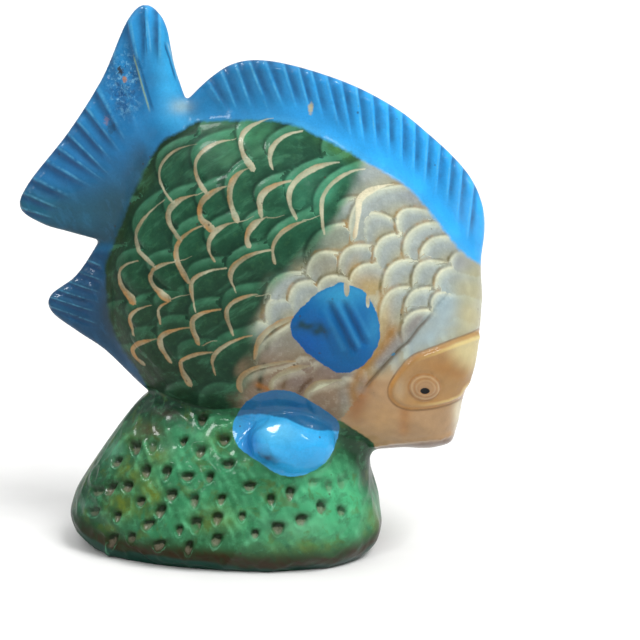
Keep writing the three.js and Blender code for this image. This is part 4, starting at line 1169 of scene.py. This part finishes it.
gl_fade = m2('MULTIPLY', ramp(V, 308, 324), ramp(V, 396, 380))
col = blend(m2('MULTIPLY', m2('MULTIPLY', ramp(gl, 3.0, 0.4), gl_fade), 0.6), col, srgb(84, 66, 44))

# eye: ring lines and pupil
def oval(cu, cv, ru, rv):
    du = m2('DIVIDE', m2('SUBTRACT', U, cu), ru)
    dv = m2('DIVIDE', m2('SUBTRACT', V, cv), rv)
    return m2('SQRT', m2('ADD', m2('MULTIPLY', du, du), m2('MULTIPLY', dv, dv)))


ring = oval(423.5, 386.5, 15.0, 12.8)
for r, w, k in ((1.04, 0.10, 0.55), (0.72, 0.07, 0.45), (0.47, 0.06, 0.22)):
    near = ramp(m2('ABSOLUTE', m2('ADD', m2('SUBTRACT', ring, r), m2('MULTIPLY', hand, 0.08))), w, 0.0)
    col = blend(m2('MULTIPLY', near, k), col, srgb(142, 92, 36))
# pale rings between the ring lines: cream paint, and painted highlight on the rims
for r, w, k in ((0.88, 0.09, 0.16), (0.60, 0.07, 0.08)):
    near = ramp(m2('ABSOLUTE', m2('ADD', m2('SUBTRACT', ring, r), m2('MULTIPLY', hand, 0.10))), w, 0.0)
    col = blend(m2('MULTIPLY', near, k), col, srgb(222, 196, 148))
pupil = oval(422.9, 389.5, 4.6, 3.3)
col = blend(m2('MULTIPLY', ramp(pupil, 1.5, 1.0), 0.35), col, srgb(150, 104, 60))
col = blend(ramp(m2('ADD', pupil, m2('MULTIPLY', hand, 0.16)), 1.04, 0.93), col, (0.004, 0.004, 0.004))
# a stray dot of blue by the gill
col = blend(m2('MULTIPLY', ramp(oval(393.2, 354.2, 2.4, 1.9), 1.15, 0.8), at('f_seen')), col, srgb(72, 120, 150))

# blue pads and the blue round the knob
pad = ramp(m2('ADD', at('f_pad'), m2('ADD', m2('MULTIPLY', hand, 4.4), m2('MULTIPLY', cloud, 4.0))), 0.6, -0.6)
pad_col = blend(m2('ADD', 0.10, m2('MULTIPLY', cloud, 1.0), clamp=True), at('c_pad', True), srgb(10, 60, 116))
# the blue above the line where belly meets knob is darker: partly a darker blue, partly painted shade under the belly's
# overhang
sunk = m2('ADD', at('f_sunk'), m2('MULTIPLY', hand, 2.2))
pad_col = blend(m2('MULTIPLY', ramp(sunk, 1.2, -1.2), 0.92), pad_col, blend(m2('ADD', 0.3, m2('MULTIPLY', cloud, 2.0), clamp=True), srgb(34, 88, 124), srgb(16, 66, 112)))
drips = None
for cu, cv, ru, rv in ((346.5, 288.0, 3.1, 9.0), (367.5, 301.0, 2.1, 7.0)):
    d = ramp(m2('ADD', oval(cu, cv, ru, rv), m2('MULTIPLY', hand, 0.35)), 1.06, 0.84)
    drips = d if drips is None else m2('MAXIMUM', drips, d)
pad = m2('MULTIPLY', pad, m2('SUBTRACT', 1.0, m2('MULTIPLY', drips, at('f_seen'))))
col = blend(pad, col, pad_col)

# green rock
rock = ramp(m2('ADD', at('f_rock'), m2('MULTIPLY', hand, 2.6)), -1.0, 1.0)
rock_col = at('c_rock', True)
off_band = ramp(at('f_band'), -5.0, -14.0)
rock_col = blend(m2('MULTIPLY', m2('MULTIPLY', ramp(noise(420, 4, 0.62), 0.50, 0.68), off_band), 0.24), rock_col, srgb(82, 158, 112))
rock_col = blend(m2('MULTIPLY', ramp(noise(230, 4, 0.62, 0.3), 0.50, 0.68), 0.42), rock_col, srgb(26, 64, 38))
rock_col = blend(m2('MULTIPLY', m2('MULTIPLY', ramp(noise(150, 3, 0.6, 0.5), 0.54, 0.68), off_band), 0.50), rock_col, srgb(70, 88, 32))
# bare clay shows where the brush missed the pits
pit = m2('ADD', at('f_pit'), m2('ADD', m2('MULTIPLY', hand, 0.75), m2('MULTIPLY', cloud, 0.6)))
pitv = at('f_pitv')
deep = at('f_deep')
halo = m2('MULTIPLY', m2('MULTIPLY', ramp(pit, 1.7, 0.8), ramp(pitv, 0.9, -0.3)), deep)
rock_col = blend(m2('MULTIPLY', halo, 0.55), rock_col, srgb(30, 54, 24))
# lighter mint on the lower rim of each pit: thin paint there and painted highlight
brim = m2('MULTIPLY', m2('MULTIPLY', ramp(m2('ABSOLUTE', m2('SUBTRACT', pit, 1.22)), 0.26, 0.02), ramp(pitv, 0.0, 0.6)), deep)
rock_col = blend(m2('MULTIPLY', brim, m2('ADD', 0.14, m2('MULTIPLY', cloud, 1.6)), clamp=True), rock_col, srgb(112, 186, 146))
# painted shadow in the upper part of each pit
dark = m2('MULTIPLY', m2('MULTIPLY', ramp(pit, 1.10, 0.55), ramp(m2('ADD', pitv, m2('MULTIPLY', hand, 0.9)), 0.16, -0.16)), deep)
rock_col = blend(m2('MULTIPLY', dark, 0.88), rock_col, srgb(24, 34, 18))
bare = m2('MULTIPLY', m2('MULTIPLY', ramp(pit, 1.04, 0.60), ramp(m2('ADD', pitv, m2('MULTIPLY', hand, 0.9)), -0.20, 0.16)), deep)
bare = m2('MULTIPLY', bare, ramp(m2('ADD', noise(210, 2, 0.5), m2('MULTIPLY', at('f_seen'), 0.08)), 0.38, 0.52))
clay = blend(m2('ADD', 0.5, m2('MULTIPLY', grain, 2.4), clamp=True), srgb(136, 126, 110), srgb(92, 82, 68))
rock_col = blend(m2('MULTIPLY', bare, 0.60), rock_col, clay)
col = blend(rock, col, rock_col)
patch = m2('MULTIPLY', ramp(m2('ADD', at('f_patch'), m2('MULTIPLY', hand, 3.0)), 0.6, -0.6), at('f_seen'))
col = blend(patch, col, pad_col)

# chips and rubbed places on the tail and the fin's edge
seen = at('f_seen')
worn = ramp(oval(124, 84, 20, 40), 1.3, 0.3)
rub = m2('MULTIPLY', m2('MULTIPLY', worn, seen), ramp(noise(620, 5, 0.75), 0.51, 0.60))
col = blend(m2('MULTIPLY', rub, 0.55), col, srgb(112, 168, 196))
rub2 = m2('MULTIPLY', m2('MULTIPLY', worn, seen), ramp(noise(520, 4, 0.7, 0.8), 0.49, 0.60))
col = blend(m2('MULTIPLY', rub2, 0.62), col, srgb(22, 66, 112))
rough_edge = m2('MULTIPLY', m2('SUBTRACT', noise(780, 4, 0.7), 0.5), 3.6)
chip = ramp(m2('ADD', oval(120.6, 71, 3.0, 4.8), rough_edge), 1.1, 0.5)
col = blend(m2('MULTIPLY', m2('MULTIPLY', chip, seen), 0.9), col, srgb(38, 34, 38))
chip = ramp(m2('ADD', oval(124.5, 79, 2.8, 3.2), rough_edge), 1.1, 0.5)
col = blend(m2('MULTIPLY', m2('MULTIPLY', chip, seen), 0.9), col, srgb(150, 108, 84))
chip = ramp(m2('ADD', oval(106.6, 119.7, 3.2, 5.0), rough_edge), 1.2, 0.4)
col = blend(m2('MULTIPLY', m2('MULTIPLY', chip, seen), 0.6), col, srgb(120, 108, 130))
chip = ramp(m2('ADD', oval(111, 128, 4.0, 7.0), rough_edge), 1.2, 0.4)
col = blend(m2('MULTIPLY', m2('MULTIPLY', chip, seen), 0.45), col, srgb(28, 48, 66))
chip = ramp(m2('ADD', oval(311, 108, 3.4, 6.4), m2('MULTIPLY', hand, 2.2)), 1.1, 0.4)
col = blend(m2('MULTIPLY', m2('MULTIPLY', chip, seen), 0.7), col, srgb(176, 160, 96))

# fine nicks and runs down the tail
def nick(u0, v0, u1, v1, w):
    lean = (u1 - u0) / (v1 - v0)
    off = m2('SUBTRACT', U, m2('ADD', u0 - v0 * lean, m2('MULTIPLY', V, lean)))
    near = ramp(m2('ABSOLUTE', m2('ADD', off, m2('MULTIPLY', hand, 1.2))), w, 0.2)
    return m2('MULTIPLY', m2('MULTIPLY', near, m2('MULTIPLY', ramp(V, v0 - 4, v0 + 4), ramp(V, v1 + 5, v1 - 5))), seen)


for run, k, tint in (((165, 44, 175, 78, 1.5), 0.75, (22, 66, 108)), ((167.8, 44, 177.8, 78, 1.3), 0.45, (166, 198, 208)), ((133.7, 57, 149, 109, 1.6), 0.60, (142, 166, 116)),
                     ((137.4, 57, 152.6, 109, 2.6), 0.55, (12, 54, 92)), ((144.5, 20, 146.7, 54, 1.5), 0.50, (14, 66, 108)), ((148.0, 22, 150.6, 50, 1.4), 0.35, (110, 176, 206))):
    col = blend(m2('MULTIPLY', nick(*run), k), col, srgb(*tint))

# mottle everywhere: thin paint over a gritty ground, with a few dark specks
col = blend(m2('MULTIPLY', ramp(cloud, -0.02, 0.22), 0.20), col, blend(0.5, col, (1, 1, 1), 'SOFT_LIGHT'))
shade = m2('ADD', 1.0, m2('MULTIPLY', grain, m2('ADD', 0.38, m2('MULTIPLY', at('f_head'), -0.22))))
shade = m2('ADD', shade, m2('MULTIPLY', cloud, 0.22))
comb = node('ShaderNodeCombineColor')
for i in range(3):
    feed(comb.inputs[i], shade)
col = blend(1.0, col, comb.outputs[0], 'MULTIPLY')
cells = node('ShaderNodeTexVoronoi', feature='F1')
feed(cells.inputs['Vector'], coords); feed(cells.inputs['Scale'], 330.0)
speck = m2('MULTIPLY', ramp(cells.outputs['Distance'], 0.16, 0.09), ramp(noise(95, 2, 0.5), 0.58, 0.66))
col = blend(m2('MULTIPLY', speck, 0.6), col, srgb(52, 44, 34))

bump_h = m2('ADD', m2('MULTIPLY', noise(900, 4, 0.6), 0.55), m2('MULTIPLY', noise(260, 3, 0.5), 0.6))
bump_h = m2('ADD', bump_h, m2('MULTIPLY', alpha, 0.30))
bump = node('ShaderNodeBump')
feed(bump.inputs['Strength'], 0.35); feed(bump.inputs['Distance'], 0.00035); feed(bump.inputs['Height'], bump_h)
coat_bump = node('ShaderNodeBump')
feed(coat_bump.inputs['Strength'], 0.14); feed(coat_bump.inputs['Distance'], 0.00035)
feed(coat_bump.inputs['Height'], m2('ADD', m2('MULTIPLY', noise(420, 3, 0.55), 0.9), m2('MULTIPLY', noise(1100, 2, 0.5), 0.25)))

rough = m2('ADD', 0.40, m2('MULTIPLY', cloud, 0.30))
rough = m2('ADD', rough, m2('MULTIPLY', m2('MULTIPLY', bare, rock), 0.35), clamp=True)
shader = node('ShaderNodeBsdfPrincipled')
feed(shader.inputs['Base Color'], col)
feed(shader.inputs['Roughness'], rough)
feed(shader.inputs['Normal'], bump.outputs[0])
feed(shader.inputs['Specular IOR Level'], m2('ADD', 0.07, m2('MULTIPLY', at('f_head'), 0.12)))
lacquer = m2('ADD', 0.22, m2('MULTIPLY', at('f_head'), 0.34))
lacquer = m2('SUBTRACT', lacquer, m2('MULTIPLY', m2('MULTIPLY', body_mask, m2('SUBTRACT', 1.0, at('f_head'))), 0.15))
foot = m2('MULTIPLY', ramp(at('f_band'), -16.0, -4.0), ramp(U, 330, 290))
lacquer = blend(rock, lacquer, blend(foot, (0.17, 0.17, 0.17), (0.05, 0.05, 0.05)))
lacquer = blend(m2('MAXIMUM', patch, pad), lacquer, blend(ramp(V, 378, 384), (0.16, 0.16, 0.16), (0.50, 0.50, 0.50)))
lacquer = blend(ramp(pupil, 1.1, 0.9), lacquer, (0.0, 0.0, 0.0))
feed(shader.inputs['Coat Weight'], lacquer)
shader.inputs['Coat Roughness'].default_value = 0.09
feed(shader.inputs['Coat Normal'], coat_bump.outputs[0])
out = node('ShaderNodeOutputMaterial')
nt.links.new(shader.outputs[0], out.inputs[0])
obj.data.materials.clear()
obj.data.materials.append(mat)
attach(obj, "root")
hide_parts("fish_on_rock_base")

# ------------------------------------------------------------- floor and light
floor_mesh = bpy.data.meshes.new("floor")
floor_mesh.from_pydata([(-14, -14, 0), (14, -14, 0), (14, 14, 0), (-14, 14, 0)], [], [(0, 1, 2, 3)])
floor = bpy.data.objects.new("floor", floor_mesh)
bpy.context.scene.collection.objects.link(floor)
pale = bpy.data.materials.new("pale_floor")
pale.use_nodes = True
pn = pale.node_tree
bsdf = pn.nodes["Principled BSDF"]
tex = pn.nodes.new('ShaderNodeTexNoise'); tex.inputs['Scale'].default_value = 60.0
cr = pn.nodes.new('ShaderNodeValToRGB')
cr.color_ramp.elements[0].color = (0.80, 0.80, 0.79, 1); cr.color_ramp.elements[1].color = (0.86, 0.86, 0.85, 1)
tc = pn.nodes.new('ShaderNodeTexCoord')
pn.links.new(tc.outputs['Object'], tex.inputs['Vector'])
pn.links.new(tex.outputs['Fac'], cr.inputs['Fac'])
pn.links.new(cr.outputs['Color'], bsdf.inputs['Base Color'])
bsdf.inputs['Roughness'].default_value = 0.85
floor_mesh.materials.append(pale)

world = bpy.context.scene.world or bpy.data.worlds.new("world")
bpy.context.scene.world = world
world.use_nodes = True
wn = world.node_tree
sky = wn.nodes["Background"]
sky.inputs[0].default_value = (1.0, 1.0, 1.0, 1)
wtc = wn.nodes.new('ShaderNodeTexCoord')
wsep = wn.nodes.new('ShaderNodeSeparateXYZ')
wn.links.new(wtc.outputs['Generated'], wsep.inputs[0])
wr = wn.nodes.new('ShaderNodeMapRange'); wr.interpolation_type = 'SMOOTHSTEP'
wr.inputs['From Min'].default_value = 0.0; wr.inputs['From Max'].default_value = 0.75
wr.inputs['To Min'].default_value = 0.34; wr.inputs['To Max'].default_value = 0.95
wn.links.new(wsep.outputs['Z'], wr.inputs['Value'])
wn.links.new(wr.outputs['Result'], sky.inputs[1])


def sun(name, towards, energy, angle):
    data = bpy.data.lights.new(name, 'SUN')
    data.energy = energy
    data.angle = math.radians(angle)
    o = bpy.data.objects.new(name, data)
    o.rotation_mode = 'QUATERNION'
    o.rotation_quaternion = Vector(towards).to_track_quat('Z', 'Y')
    bpy.context.scene.collection.objects.link(o)
    return o


key = sun("key", (0.55, -0.45, 0.95), 2.3, 30)
key.visible_glossy = False                                   # a soft box that leaves no mirror image
glint = sun("glint", (-0.45, -0.95, 0.75), 0.35, 8)
# two small panes of light that only the lacquer mirrors
for name, towards, energy, angle in (("pane_a", (-0.43, -0.12, 0.90), 3.0, 18), ("pane_b", (0.44, -0.54, 0.71), 0.25, 8)):
    pane = sun(name, towards, energy, angle)
    pane.visible_diffuse = False                             # only mirrored, it lights nothing

cam_data = bpy.data.cameras.new("camera")
cam_data.sensor_width = 36.0
cam_data.lens = float(FOC / 640 * 36.0)
cam_data.shift_x = (320 - P0[0]) / 640
cam_data.shift_y = (P0[1] - 320) / 640
cam_data.clip_start, cam_data.clip_end = 0.01, 60
cam = bpy.data.objects.new("camera", cam_data)
cam.location = Vector((EYE_AT + OFF) / 1000)
cam.rotation_mode = 'QUATERNION'
cam.rotation_quaternion = Vector(FWD).to_track_quat('-Z', 'Y')
bpy.context.scene.collection.objects.link(cam)
bpy.context.scene.camera = cam
bpy.context.scene.view_settings.view_transform = 'Standard'
